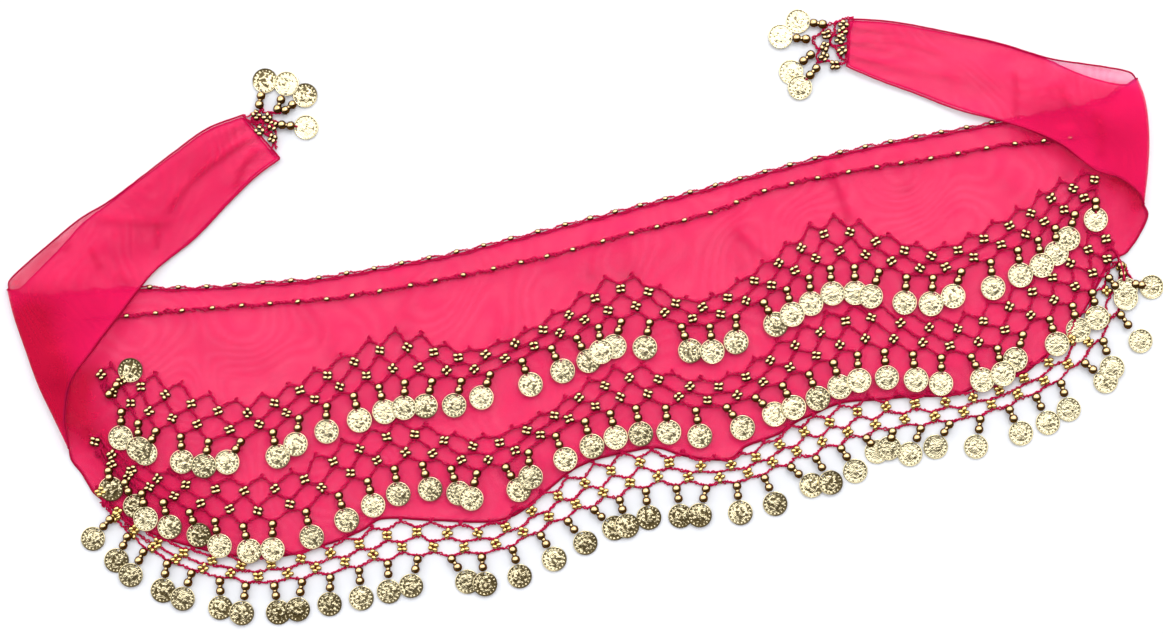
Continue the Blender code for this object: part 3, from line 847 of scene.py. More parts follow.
# ---- the sash ------------------------------------------------------------------------------------------
def loop_fade():
    """How full the loop is at each row of a fold: full from the waist down, and flat at the fold's foot."""
    return 0.1 + 0.9 * ease((1 - np.linspace(0, 1, FOLD_ROWS)) / 0.22)


def fold_line(fold, inset):
    """A fold's line from the waist down, moved in by inset mm, with a point for each row of the cloth."""
    fold = np.asarray(fold, float)
    inward = -1 if fold[0, 0] > 0 else 1
    top_x = fold[0, 0] + inward * inset
    ys = np.linspace(waist_y(top_x), fold[-1, 1], FOLD_ROWS)
    xs = smooth(fold[::-1, 1], fold[::-1, 0], np.clip(ys, fold[-1, 1], fold[0, 1]))
    return np.column_stack([xs + inward * inset * loop_fade(), ys])


def side_line(fold, corner, inset, trim):
    """A panel's whole side: its fold, then the free corner below it."""
    line = fold_line(fold, inset)
    corner = np.asarray(corner, float)
    corner[0] = line[-1]
    inward = -1 if fold[0][0] > 0 else 1
    corner[1:, 0] += inward * trim
    return np.vstack([line, divided(corner, CORNER_ROWS)[1:]])


def sash_panel(level):
    """Plan points of the panel between the folds, in columns from left to right."""
    inset = LOOP_REACH - level.fold_out
    left = side_line(LEFT_FOLD, LEFT_CORNER, inset, level.trim)
    right = side_line(RIGHT_FOLD, RIGHT_CORNER, inset, level.trim)
    s = np.linspace(0, 1, BODY_COLUMNS + 1)[:, None]
    xs = left[0, 0] + (right[0, 0] - left[0, 0]) * s[:, 0]
    top = np.column_stack([xs, level_y(WAIST, xs)])
    hem = np.asarray(HEM, float) + (0, level.trim)
    hem[0], hem[-1] = left[-1], right[-1]
    bottom = divided(hem, BODY_COLUMNS)
    share = np.linspace(0, 1, len(left))
    t = share[None, :, None]
    s = s[:, :, None]
    grid = (1 - t) * top[:, None] + t * bottom[:, None] + (1 - s) * left[None] + s * right[None]
    grid -= (1 - s) * (1 - t) * left[0] + s * (1 - t) * right[0] + (1 - s) * t * left[-1] + s * t * right[-1]
    return grid


def tie_panel(start, sections):
    """Plan points of a tie in columns from its fold to its end. start is the fold's own column."""
    rows = np.linspace(0, 1, FOLD_ROWS)[:, None]
    stations = [start]
    for section in sections:
        outer, inner = np.array(section[:2], float), np.array(section[2:], float)
        stations.append(outer + (inner - outer) * rows)
    stations = np.array(stations)
    middle = stations[:, FOLD_ROWS // 2]
    knots = runs(middle)
    return smooth(knots, stations, np.linspace(0, knots[-1], TIE_COLUMNS + 1)[1:])


def tie_height(xy, share, level, creases_and_shadows):
    """A tie's heights and how much deeper its colour is, from gathered cloth and painted shade: over the sash,
    down to the table beyond it, and pleated at its end.
    """
    lift, gather = creased_and_shaded(xy, creases_and_shadows)
    beyond = xy[:, 1] - level_y(WAIST, xy[:, 0])
    over = 1 - ease((beyond - 3) / 26)
    base = level.floor + (level.tie - level.floor + body_rise(xy)[0]) * over
    near_end = ease((share[0] - 0.55) / 0.45)
    pleats = (np.cos(share[1] * math.tau * 3.5 + 3 * share[0]) * 0.5 + 0.5) ** 2
    lift = lift + near_end**2 * (0.5 + 0.9 * pleats) + 1.0 * waves(xy, 34, 8.2)
    gather = gather + near_end**2 * (0.08 * pleats + 0.04)
    gap = lift * 0.15 if level is BACK else 0
    return base + lift + gap, gather


def tie_columns(start, outward, low, level, sections, creases_and_shadows, lens):
    """A tie's points and how much deeper its colour is, from gathered cloth and painted shade, in columns from
    the loop at its fold to its end.
    """
    tie = tie_panel(start, sections)
    flat = tie.reshape(-1, 2)
    across = np.linspace(0, 1, FOLD_ROWS)
    shares = (np.repeat(np.linspace(0, 1, len(tie)), FOLD_ROWS), np.tile(across, len(tie)))
    top, gather = tie_height(flat, shares, level, creases_and_shadows)
    if level is BACK:
        width, gather_and_shade_amount, line = lens
        gather += gather_and_shade_amount * bell(nearest(flat, drawn(line, 2))[0], width)
    high, high_gather_and_shade = tie_height(start, (np.zeros(FOLD_ROWS), across), level, creases_and_shadows)
    loop, loop_gather_and_shade = [], []
    for i in range(1, LOOP_COLUMNS + 1):
        turn = math.pi * i / LOOP_COLUMNS
        reach = LOOP_REACH * math.sin(turn) * loop_fade()
        z = low + (high - low) * (1 - math.cos(turn)) / 2
        loop.append(np.column_stack([start[:, 0] + outward * reach, start[:, 1], z]))
        loop_gather_and_shade.append(1 + high_gather_and_shade + 0.12 * math.sin(turn))
    laid = np.column_stack([flat, top]).reshape(len(tie), FOLD_ROWS, 3)
    return np.concatenate([np.array(loop), laid]), np.concatenate([np.concatenate(loop_gather_and_shade), 1 + gather])


def cloth_layer(name, level, left_tie, right_tie, settings):
    """One layer of the scarf as a single cut: left tie, fold, sash, fold and right tie."""
    panel = sash_panel(level)
    flat = panel.reshape(-1, 2)
    lift, gather = body_rise(flat)
    heights = level.body + lift
    body = np.arange(len(flat)).reshape(panel.shape[:2])
    points = [np.column_stack([flat, heights])]
    gather_and_shade_lists = [1 + gather + deepened(flat)]
    grids = [body]
    count = len(flat)
    for side, outward, *cut in (
        (0, -1, left_tie, LEFT_TIE_CREASES_AND_SHADE, LEFT_LENS), (-1, 1, right_tie, RIGHT_TIE_CREASES, RIGHT_LENS),
    ):
        fold = body[side, :FOLD_ROWS]
        columns, gather = tie_columns(panel[side, :FOLD_ROWS], outward, heights[fold], level, *cut)
        index = count + np.arange(len(columns) * FOLD_ROWS).reshape(-1, FOLD_ROWS)
        count += index.size
        points.append(columns.reshape(-1, 3))
        gather_and_shade_lists.append(gather + deepened(points[-1][:, :2]))
        strip = np.vstack([fold[None], index])
        grids.append(strip if side == -1 else strip[::-1])
    points = np.vstack(points) * MM
    faces = [
        (grid[i, j], grid[i, j + 1], grid[i + 1, j + 1], grid[i + 1, j])
        for grid in grids for i in range(grid.shape[0] - 1) for j in range(grid.shape[1] - 1)
    ]
    mesh = bpy.data.meshes.new(name)
    mesh.from_pydata(points.tolist(), [], np.array(faces).tolist())
    add_attribute(mesh, "gather", "FLOAT", np.concatenate(gather_and_shade_lists))
    lay_uvs(mesh, grids, points)
    mesh.shade_smooth()
    mesh.materials.append(material("sheer_chiffon", chiffon_material, settings))
    return bpy.data.objects.new(name, mesh)


def lay_uvs(mesh, grids, points):
    """A UV map in metres along and across the cut, so that the weave runs with the cloth."""
    uv = np.zeros((len(points), 2))
    body, left, right = grids
    for grid, sign in ((body, 1), (right, 1), (left[::-1], -1)):
        middle = grid[:, grid.shape[1] // 2]
        along = uv[middle[0], 0] + sign * runs(points[middle])
        for column, run in zip(grid, along):
            uv[column, 0] = run
            uv[column, 1] = runs(points[column])
    layer = mesh.uv_layers.new(name="UVMap")
    corner = np.zeros(len(mesh.loops), int)
    mesh.loops.foreach_get("vertex_index", corner)
    layer.data.foreach_set("uv", uv[corner].ravel())


# ---- thread, beads and coins ---------------------------------------------------------------------------
def lifted(lines, above):
    """Plan lines, laid at a height above the cloth or the table."""
    out = []
    for line in lines:
        line = np.asarray(line, float)
        if line.shape[1] == 2:
            line = np.column_stack([line, cloth_top(line) + above])
        out.append(line)
    return out


def thread_piece(name, lines, settings, scale=1.0):
    """A piece of crochet along lines of points in mm."""
    return grown(
        name, lines_mesh(name, lines), "Crochet thread", Step=settings.step, Lay=settings.lay * scale,
        Spread=settings.spread * scale, Ply_Radius=settings.ply_radius * scale,
        Unevenness=settings.unevenness * scale, Thread=material("spun_thread", thread_material, settings),
    )


def turned_bead(name, radii, sides):
    """A bead turned about X with a hole through it. radii are its half profile, from end to end."""
    rings = [(radii[0][0], 0.20), *radii, (radii[-1][0], 0.20)]
    angles = [math.tau * k / sides for k in range(sides)]
    points = [(x, r * math.cos(a), r * math.sin(a)) for x, r in rings for a in angles]
    faces = []
    for i in range(len(rings)):
        j = (i + 1) % len(rings)
        for k in range(sides):
            n = (k + 1) % sides
            faces.append((i * sides + k, i * sides + n, j * sides + n, j * sides + k))
    mesh = bpy.data.meshes.new(name)
    mesh.from_pydata(points, [], faces)
    return tidy(mesh)


def tidy(mesh):
    """A mesh with its faces pointing out and shaded smooth."""
    work = bmesh.new()
    work.from_mesh(mesh)
    bmesh.ops.recalc_face_normals(work, faces=work.faces)
    work.to_mesh(mesh)
    work.free()
    mesh.shade_smooth()
    return mesh


def coin_height(pattern, ring, angle, column):
    """How far a stamped coin's face stands above its edge, in shares of its radius."""
    petals, twist, boss = COIN_PATTERNS[pattern]
    height = 0.012
    if ring < COIN_FIELD:
        wave = 0.5 + 0.5 * math.cos(petals * angle + twist * ring * 6)
        height += 0.030 * wave * math.sin(math.pi * min(1, ring / COIN_FIELD)) ** 0.7
        height += 0.034 * boss * (1 - ring / COIN_FIELD)
    if abs(ring - 0.80) < 0.01:
        height += 0.030 * (column % 2)
    if ring > 0.92:
        height += 0.034 if ring < 0.98 else 0.006
    return height


def coin_blank(pattern):
    """A stamped coin with a radius of 1, and its UV map."""
    work = bmesh.new()
    angles = [math.tau * k / COIN_SIDES for k in range(COIN_SIDES)]

    def ring_of(radius, heights):
        places = [(radius * math.cos(a), radius * math.sin(a), z) for a, z in zip(angles, heights)]
        return [work.verts.new(place) for place in places]

    rings = [ring_of(r, [coin_height(pattern, r, a, k) for k, a in enumerate(angles)]) for r in COIN_RINGS]
    rings += [ring_of(r, [z] * COIN_SIDES) for r, z in ((1.0, -0.022), (0.93, -0.034))]
    middle = work.verts.new((0, 0, coin_height(pattern, 0, 0, 0)))
    under = work.verts.new((0, 0, -0.022))
    for k in range(COIN_SIDES):
        n = (k + 1) % COIN_SIDES
        work.faces.new((middle, rings[0][k], rings[0][n]))
        work.faces.new((under, rings[-1][n], rings[-1][k]))
        for low, high in zip(rings, rings[1:]):
            work.faces.new((low[k], high[k], high[n], low[n]))
    uv = work.loops.layers.uv.new("UVMap")
    for face in work.faces:
        for loop in face.loops:
            loop[uv].uv = (loop.vert.co.x / 2 + 0.5, loop.vert.co.y / 2 + 0.5)
    mesh = bpy.data.meshes.new(f"coin_{pattern}")
    work.to_mesh(mesh)
    work.free()
    return tidy(mesh)


def coin_mesh(pattern):
    """A stamped coin with a radius of 1 and a hole towards +Y."""
    punch = bpy.data.meshes.new("punch")
    work = bmesh.new()
    bmesh.ops.create_cone(
        work, cap_ends=True, segments=10, radius1=0.085, radius2=0.085, depth=0.4,
        matrix=Matrix.Translation((0, HOLE, 0)),
    )
    work.to_mesh(punch)
    work.free()
    blank, tool = bpy.data.objects.new("blank", coin_blank(pattern)), bpy.data.objects.new("punch", punch)
    for thing in (blank, tool):
        bpy.context.scene.collection.objects.link(thing)
    cut = blank.modifiers.new("hole", "BOOLEAN")
    cut.object, cut.operation, cut.solver = tool, "DIFFERENCE", "EXACT"
    graph = bpy.context.evaluated_depsgraph_get()
    made = bpy.data.meshes.new_from_object(blank.evaluated_get(graph), depsgraph=graph)
    for thing in (blank, tool):
        bpy.data.objects.remove(thing)
    made.name = f"coin_{pattern}"
    return made


def store(name, meshes):
    """A collection of small pieces to set on points, kept out of the scene."""
    kept = bpy.data.collections.get(name)
    if kept is None:
        kept = bpy.data.collections.new(name)
        for i, mesh in enumerate(meshes()):
            kept.objects.link(bpy.data.objects.new(f"{name}_{i}", mesh))
    return kept


def bead_store():
    """Round beads in two patterns: a small one and a large one."""
    small = [(1.08, 0.45), (0.70, 0.82), (0.0, 0.96), (-0.70, 0.82), (-1.08, 0.45)]
    large = [(0.90, 0.36), (0.68, 0.72), (0.30, 0.95), (-0.30, 0.95), (-0.68, 0.72), (-0.90, 0.36)]
    return [turned_bead("small_bead", small, 7), turned_bead("large_bead", large, 9)]


def coin_store():
    """A stamped coin in each pattern."""
    return [coin_mesh(pattern) for pattern in range(len(COIN_PATTERNS))]


def bead_piece(name, places, settings):
    """Beads at their places."""
    return grown(
        name, places_mesh(name, places), "Set on points", Pieces=store("beads", bead_store),
        Finish=material("gold_bead", bead_material, settings),
    )


def coin_piece(name, places, settings):
    """Coins at their places."""
    return grown(
        name, places_mesh(name, places), "Set on points", Pieces=store("coins", coin_store),
        Finish=material("gold_coin", coin_material, settings),
    )


def cluster(centre, down, size, turn, rng):
    """Four small beads in a square, sewn down at one place."""
    side = np.array([-down[1], down[0]])
    swing = math.radians(turn)
    along = down * math.cos(swing) + side * math.sin(swing)
    across = np.array([-along[1], along[0]])
    beads = []
    for i, j in ((-1, -1), (-1, 1), (1, -1), (1, 1)):
        shift = [rng.uniform(-0.2, 0.2), rng.uniform(-0.2, 0.2)]
        at = centre + along * i * size * 0.88 + across * j * size * 0.90 + shift
        heading = math.atan2(across[1], across[0]) + rng.uniform(-0.8, 0.8)
        beads.append({
            "at": [*at, cloth_top(at)[0] + size * 0.95 + 0.5], "turn": (0, 0, heading),
            "size": size * rng.uniform(0.93, 1.07), "pattern": SMALL,
        })
    return beads


class Net:
    """One crocheted net in its own cells: cell 0 to 39 along it, and 0 at its tips to 1 at its feet."""

    def __init__(self, ribs, seed):
        self.table = np.array(ribs, float)
        self.rng = random.Random(seed)

    def at(self, cell, depth):
        """The point at a cell and a depth, which may lie a little beyond the first or the last cell."""
        ends = np.clip([cell, cell - 0.5, cell + 0.5], 0, CELLS - 1)
        rib, before, after = smooth(self.table[:, 0], self.table[:, 1:], ends)
        rib = rib + (after - before) * (cell - ends[0]) * 1.5
        return rib[:2] + (rib[2:] - rib[:2]) * depth

    def down(self, cell):
        """The way from the tips to the feet at a cell."""
        way = self.at(cell, 1) - self.at(cell, 0)
        return way / np.linalg.norm(way)

    def shaken(self, point, amount=0.7):
        """A point moved by up to an amount each way."""
        return np.asarray(point) + [self.rng.uniform(-amount, amount), self.rng.uniform(-amount, amount)]

    def make(self, bead):
        """The net's chains, bead places and feet."""
        last = CELLS - 1
        half = bead * 2.1
        firsts = [self.shaken(self.at(i, 0.31)) for i in range(CELLS)]
        seconds = [self.shaken(self.at(i + 0.5, 0.74)) for i in range(last)]
        downs = [self.down(i) for i in range(CELLS)]
        half_downs = [self.down(i + 0.5) for i in range(last)]
        top, middle, bottom = [self.at(-0.45, 0.12)], [self.at(-0.35, 0.75)], [self.shaken(self.at(0, 1.0))]
        chains, beads = [], []
        for i in range(CELLS):
            top.append(self.shaken(firsts[i] - downs[i] * half, 0.5))
            middle.append(self.shaken(firsts[i] + downs[i] * half, 0.5))
            if i < last:
                down = half_downs[i]
                tip = self.shaken(self.at(i + 0.5, 0.0), 0.9)
                top.append(tip)
                picot = (tip - down * 2.2 + [1.0, 0], tip - down * 3.2, tip - down * 2.0 - [1.0, 0])
                chains.append([tip, *picot, tip + [0.2, 0.2]])
                middle.append(self.shaken(seconds[i] - down * half, 0.5))
                bottom.append(self.shaken(seconds[i] + down * half, 0.5))
                bottom.append(self.shaken(self.at(i + 1, 1.0), 0.5))
        top.append(self.at(last + 0.45, 0.12))
        middle.append(self.at(last + 0.35, 0.75))
        chains += [drawn(line) for line in (top, middle, bottom)]
        for end, cell in ((0, -0.5), (-1, last + 0.5)):
            chains.append([top[end], self.at(cell, 0.45), middle[end], bottom[end]])
        for centres, ways in ((firsts, downs), (seconds, half_downs)):
            for centre, down in zip(centres, ways):
                chains.append([centre - down * half, centre, centre + down * half])
                beads += cluster(centre, down, bead, self.rng.uniform(-45, 45), self.rng)
        for cell, depth in ((0.0, 0.55), (39.0, 0.5)):
            turns = np.linspace(0, 9, 22)
            wide = 0.8 + 2.2 * np.abs(np.sin(turns * 1.7 + cell))
            tangle = np.column_stack([wide * np.cos(turns), wide * np.sin(turns * 1.3) * 1.6])
            chains.append(self.at(cell, depth) + tangle)
        return chains, beads, [bottom[0], *bottom[2::2]]


def stack(coins):
    """Lifts each coin that lies across an earlier one, so that they rest on each other."""
    for i, coin in enumerate(coins):
        taken = {
            other["level"] for other in coins[:i]
            if math.dist(coin["at"][:2], other["at"][:2]) < coin["size"] + other["size"] - 0.5
        }
        coin["level"] = next(level for level in range(9) if level not in taken)
        coin["at"][2] += coin["level"] * COIN_STEP


def aimed(foot, coin):
    """A string's lean in degrees and its share of the usual length, from its foot to its coin's middle."""
    across, down = coin[0] - foot[0], foot[1] - coin[1]
    return math.degrees(math.atan2(across, down)), math.hypot(across, down) / STRING


def dangles(strings, gold, rng, rest=0.0):
    """Strings of three beads and a coin, which lies rest mm above the cloth, over whatever thread is there.

    The beads and coins lie each on their own string. All the threads lie on the last string's line, because
    place is called after the loop over the strings, when it holds the last string's values.
    """
    threads, beads, coins = [], [], []
    coin = gold.coin_radius / MM
    sizes = {SMALL: gold.small_bead / MM, LARGE: gold.large_bead / MM}
    for string in strings:
        lean = math.radians(string.lean)
        way = np.array([math.sin(lean), -math.cos(lean)])
        foot = np.array([string.x, string.y])
        bend = rng.uniform(-0.10, 0.10)
        side = np.array([-way[1], way[0]])
        k = string.reach
        base = cloth_top(foot + way * 12)[0]
        mid = base + sizes[LARGE] + 0.4

        def place(run, z):
            run = run * k
            return np.array([*(foot + way * run + side * bend * (run - run * run / 30)), z])

        for run, share_of_size, pattern in STRING_BEADS:
            heading = math.atan2(way[1], way[0]) + rng.uniform(-0.2, 0.2)
            beads.append({
                "at": place(run, mid), "turn": (0, rng.uniform(-0.15, 0.15), heading),
                "size": sizes[pattern] * share_of_size * rng.uniform(0.97, 1.03), "pattern": pattern,
            })
        centre = place(STRING, 0)
        ground = cloth_top(centre[:2])[0] + rest
        tilt = math.radians(rng.uniform(0.5, 3.0))
        roll = math.radians(rng.uniform(-3.5, 3.5))
        swing = math.atan2(-way[1], -way[0]) - math.pi / 2 + rng.uniform(-0.35, 0.35)
        turned = Matrix.Rotation(swing, 3, "Z") @ Matrix.Rotation(tilt, 3, "X") @ Matrix.Rotation(roll, 3, "Y")
        coins.append({
            "at": [centre[0], centre[1], ground + 1.0 + coin * math.sin(tilt) * 0.5],
            "turn": tuple(turned.to_euler()), "size": coin * rng.uniform(0.985, 1.015),
            "pattern": rng.randrange(3), "wear": rng.randrange(1, 30) + string.tone,
        })
        threads.append((place, base, mid))
    stack(coins)
    lines = []
    hole = STRING - coin * HOLE
    for (place, base, mid), hung in zip(threads, coins):
        z = hung["at"][2] + 1.2
        lines.append(drawn([
            place(-0.5, base + 1.0), place(2, mid), place(7, mid), place(12.5, mid + 0.2),
            place(hole - 1.2, z + 0.5), place(hole, z - 0.4), place(hole - 0.2, z - 1.9),
            place(hole - 2.6, z - 1.6),
        ], 1.0))
    return lines, beads, coins


def show_strings(name, hung_node, strings, thread, gold, rng, rest=0.0):
    """Shows the threads, the beads and the coins of a set of strings, in place of their CAD node."""
    lines, beads, coins = dangles(strings, gold, rng, rest)
    show(thread_piece(f"{name}_threads", lines, thread, 0.6), "crochet_thread", hung_node)
    show(bead_piece(f"{name}_beads", beads, gold), "gold", hung_node)
    show(coin_piece(f"{name}_coins", coins, gold), "gold", hung_node)


# ---- settings ------------------------------------------------------------------------------------------
def colour(label, text, value):
    """A setting that is a colour."""
    return FloatVectorProperty(
        name=label, description=text, subtype="COLOR", size=3, min=0, max=1, default=value,
    )


def length(label, text, value):
    """A setting that is a length in metres."""
    return FloatProperty(
        name=label, description=text, subtype="DISTANCE", unit="LENGTH", min=0, default=value, precision=5,
    )


def share(label, text, value):
    """A setting between 0 and 1."""
    return FloatProperty(name=label, description=text, subtype="FACTOR", min=0, max=1, default=value)


def power(label, text, value):
    """A setting that is a lamp's power in watts."""
    return FloatProperty(name=label, description=text, unit="POWER", min=0, default=value)


class HipScarfCloth(bpy.types.PropertyGroup):
    """The chiffon."""

    wall: length("Thickness", "Thickness of one layer of chiffon", 0.00025)
    face_cover: share("Cover", "How much of what lies behind it each face of the cloth hides", 0.375)
    light_through: share("Light through", "How much of the light that the cloth would stop passes it", 0.8)
    colour: colour("Colour", "Colour of the chiffon where it lies flat", (0.84, 0.006, 0.125))
    # The gathered colour is also the colour of the painted shadows and painted crease shade.
    deep_colour: colour("Gathered colour", "Colour of the chiffon where it is gathered", (0.56, 0.001, 0.040))
    pale_colour: colour("Pale colour", "Colour of the chiffon where one layer lies alone", (0.89, 0.05, 0.30))
    hem_colour: colour("Hem colour", "Colour of the rolled hem", (0.30, 0.002, 0.050))
    hem_cover: share("Hem cover", "How much the rolled hem hides", 1.0)
    hem_radius: length("Hem radius", "Radius of the rolled hem", 0.0007)


class HipScarfThread(bpy.types.PropertyGroup):
    """The crochet thread."""

    step: length("Step", "Spacing of the thread's points", 0.0011)
    lay: length("Stitch length", "Length of one turn of the two plies", 0.0046)
    spread: length("Spread", "How far each ply lies from the chain's middle", 0.00066)
    ply_radius: length("Ply radius", "Radius of one ply", 0.00067)
    unevenness: length("Unevenness", "How far the thread wanders", 0.0055)
    dark_thread: colour("Dark thread", "Colour of the thread between its fibres", (0.33, 0.002, 0.035))
    light_thread: colour("Light thread", "Colour of the thread's fibres", (0.74, 0.007, 0.095))


class HipScarfGold(bpy.types.PropertyGroup):
    """The beads and coins."""

    coin_radius: length("Coin radius", "Radius of a coin", 0.0099)
    large_bead: length("Large bead", "Radius of a string's large beads", 0.0035)
    small_bead: length("Small bead", "Radius of a string's small bead", 0.0017)
    net_bead: length("Net bead", "Radius of a bead in a cluster", 0.0020)
    line_bead: length("Edging bead", "Radius of a bead on the waist edging", 0.0020)
    gold: colour("Gold", "Colour of the plate", (0.88, 0.68, 0.34))
    pale_gold: colour("Pale gold", "Colour of the palest plate", (1.0, 0.90, 0.58))
    bead_gold: colour("Bead gold", "Colour of the beads", (0.72, 0.47, 0.18))
    pale_bead: colour("Pale bead gold", "Colour of the beads' rubbed patches", (1.0, 0.78, 0.44))
    bead_roughness: share("Bead roughness", "Roughness of the beads", 0.12)
    coin_roughness: share("Coin roughness", "Roughness of the coins", 0.17)
    patina: share("Patina", "How dark the hollows of the coins are", 0.80)


class HipScarfStage(bpy.types.PropertyGroup):
    """The stage."""

    frame_width: length("Frame width", "Width of the table that the camera sees", 0.930)
    camera_height: length("Camera height", "Height of the camera above the table", 2.6)
    camera_roll: FloatProperty(
        name="Camera roll", description="Turn of the camera about its own line of sight", subtype="ANGLE",
        unit="ROTATION", default=math.radians(-11),
    )
    key_power: power("Key light", "Power of the key light in watts", 14.0)
    fill_power: power("Fill light", "Power of the fill light in watts", 9.0)
    ambient: FloatProperty(
        name="Ambient", description="Strength of the light from all round", min=0, default=1.60,
    )
    floor_colour: colour("Floor", "Colour of the table", (0.93, 0.95, 0.98))


# ---- operators -----------------------------------------------------------------------------------------
def scarf_settings(context):
    """The settings of the cloth, the thread, the gold and the stage."""
    scene = context.scene
    return scene.hip_scarf_cloth, scene.hip_scarf_thread, scene.hip_scarf_gold, scene.hip_scarf_stage


class HIPSCARF_OT_cloth(bpy.types.Operator):
    """Make the two layers of chiffon with their ties folded back, and their rolled hems."""

    bl_idname = "hip_scarf.cloth"
    bl_label = "Chiffon"

    def execute(self, context):
        cloth = scarf_settings(context)[0]
        layers = (
            ("back", BACK, LEFT_TIE_OVER, RIGHT_TIE_OVER, "over"),
            ("front", FRONT, LEFT_TIE_UNDER, RIGHT_TIE_UNDER, "under"),
        )
        for face, level, left, right, lie in layers:
            layer = cloth_layer(f"sash_{face}_layer", level, left, right, cloth)
            hem = grown(
                f"sash_{face}_hem", layer.data.copy(), "Rolled hem", Step=0.0022, Roll_Radius=cloth.hem_radius,
                Unevenness=0.0006, Cloth=material("rolled_chiffon", hem_material, cloth),
            )
            wall = layer.modifiers.new("wall", "SOLIDIFY")
            wall.thickness, wall.offset = cloth.wall, 0.0
            show(layer, "chiffon", f"body_{face}", f"tie_left_{lie}", f"tie_right_{lie}")
            show(hem, "chiffon")
        return {"FINISHED"}


def waist_edging(thread, gold, rng):
    """The crocheted edging beyond the waist edge, with a bead at each of its peaks."""
    line, beads = [], []
    for x in np.concatenate([at + step * np.array(which) for at, step, which in PEAKS]):
        y = waist_y(x)
        line += [
            (x - 10.7, waist_y(x - 10.7) + 1.0 + rng.uniform(-0.2, 0.3)), (x - 4.5, waist_y(x - 4.5) + 2.2),
            (x, y + 2.5 + rng.uniform(-0.3, 0.3)), (x + 4.5, waist_y(x + 4.5) + 2.3),
        ]
        slope = math.atan2(waist_y(x + 3) - waist_y(x - 3), 6)
        beads.append({
            "at": (x, y + 1.9, 2.6), "turn": (0, 0, slope + rng.uniform(-0.4, 0.4)),
            "size": gold.line_bead / MM * rng.uniform(0.95, 1.1), "pattern": SMALL,
        })
    xs = np.arange(-440.0, 440.0, 3.1)
    inner = np.column_stack([xs, level_y(WAIST, xs) - 0.5 + 0.5 * np.sin(xs * 0.29)])
    edging = []
    for strand, height in ((line, 1.2), (inner, 2.6)):
        strand = drawn(strand)
        edging.append(np.column_stack([strand, np.full(len(strand), height)]))
    show(thread_piece("waist_edging_chain", edging, thread, 0.72), "crochet_thread", "waist_edging")
    show(bead_piece("waist_edging_beads", beads, gold), "gold", "waist_edging")


def bead_line(thread, gold, rng):
    """The chain along the cloth below the waist, with its beads."""
    line = divided(BEAD_LINE, 400)
    run = runs(line)

    def place(at):
        return np.array([np.interp(at, run, line[:, 0]), np.interp(at, run, line[:, 1])])

    knots = [place(at) + [0, rng.uniform(-0.8, 0.8)] for at in np.arange(0, run[-1], 3.7)]
    beads = []
    for at in np.arange(FIRST_LINE_BEAD, run[-1], LINE_BEAD_STEP):
        spot = place(at + rng.uniform(-1.8, 1.8))
        beads.append({
            "at": (*spot, cloth_top(spot)[0] + 2.2), "turn": (0, 0, rng.uniform(-0.4, 0.4)),
            "size": gold.line_bead / MM * 1.02, "pattern": SMALL,
        })
    chain = lifted([drawn(knots)], 0.9)
    show(thread_piece("bead_line_chain", chain, thread, 1.3), "crochet_thread", "bead_line")
    show(bead_piece("bead_line_beads", beads, gold), "gold", "bead_line")


class HIPSCARF_OT_waist(bpy.types.Operator):
    """Make the crocheted edging beyond the waist edge and the line of beads below it."""

    bl_idname = "hip_scarf.waist"
    bl_label = "Waist edging and bead line"

    def execute(self, context):
        _, thread, gold, _ = scarf_settings(context)
        rng = random.Random(11)
        waist_edging(thread, gold, rng)
        bead_line(thread, gold, rng)
        return {"FINISHED"}


def row_strings(band, feet, rng):
    """The strings of coins at a net's feet."""
    _, leans, usual, _, tones, _ = BANDS[band]
    strings = []
    for i, (foot, lean) in enumerate(zip(feet, leans)):
        reach = usual * rng.uniform(0.97, 1.03)
        if i in TURNED[band]:
            lean, reach = aimed(foot, TURNED[band][i])
            reach = max(0.62, reach)
        tone = rng.choice(PALE_TONES if i >= PALE_FROM else tones)
        if (band, i) in ANTIQUE:
            tone = 0.95
        strings.append(Dangle(foot[0], foot[1], lean, reach, tone))
    return strings


class HIPSCARF_OT_nets(bpy.types.Operator):
    """Make the three crocheted nets with their bead clusters, and the row of coins under each."""

    bl_idname = "hip_scarf.nets"
    bl_label = "Nets and coins"

    def execute(self, context):
        _, thread, gold, _ = scarf_settings(context)
        for band, (ribs, _, _, rest, _, seed) in BANDS.items():
            chains, beads, feet = Net(ribs, seed).make(gold.net_bead / MM)
            for bead in beads:
                # Painted light: the hem net's beads lie on the bare table, and a wear of 1 paints the light that
                # it throws up on them.
                bead["wear"] = 1.0 if band == "hem" else 0.0
            chains = lifted(chains, 1.1)
            show(thread_piece(f"net_{band}_thread", chains, thread), "crochet_thread", f"net_{band}")
            show(bead_piece(f"net_{band}_beads", beads, gold), "gold", f"net_{band}")
            rng = random.Random(seed + 100)
            strings = row_strings(band, feet, rng)
            show_strings(f"coins_{band}", f"coins_{band}", strings, thread, gold, rng, rest)
        return {"FINISHED"}


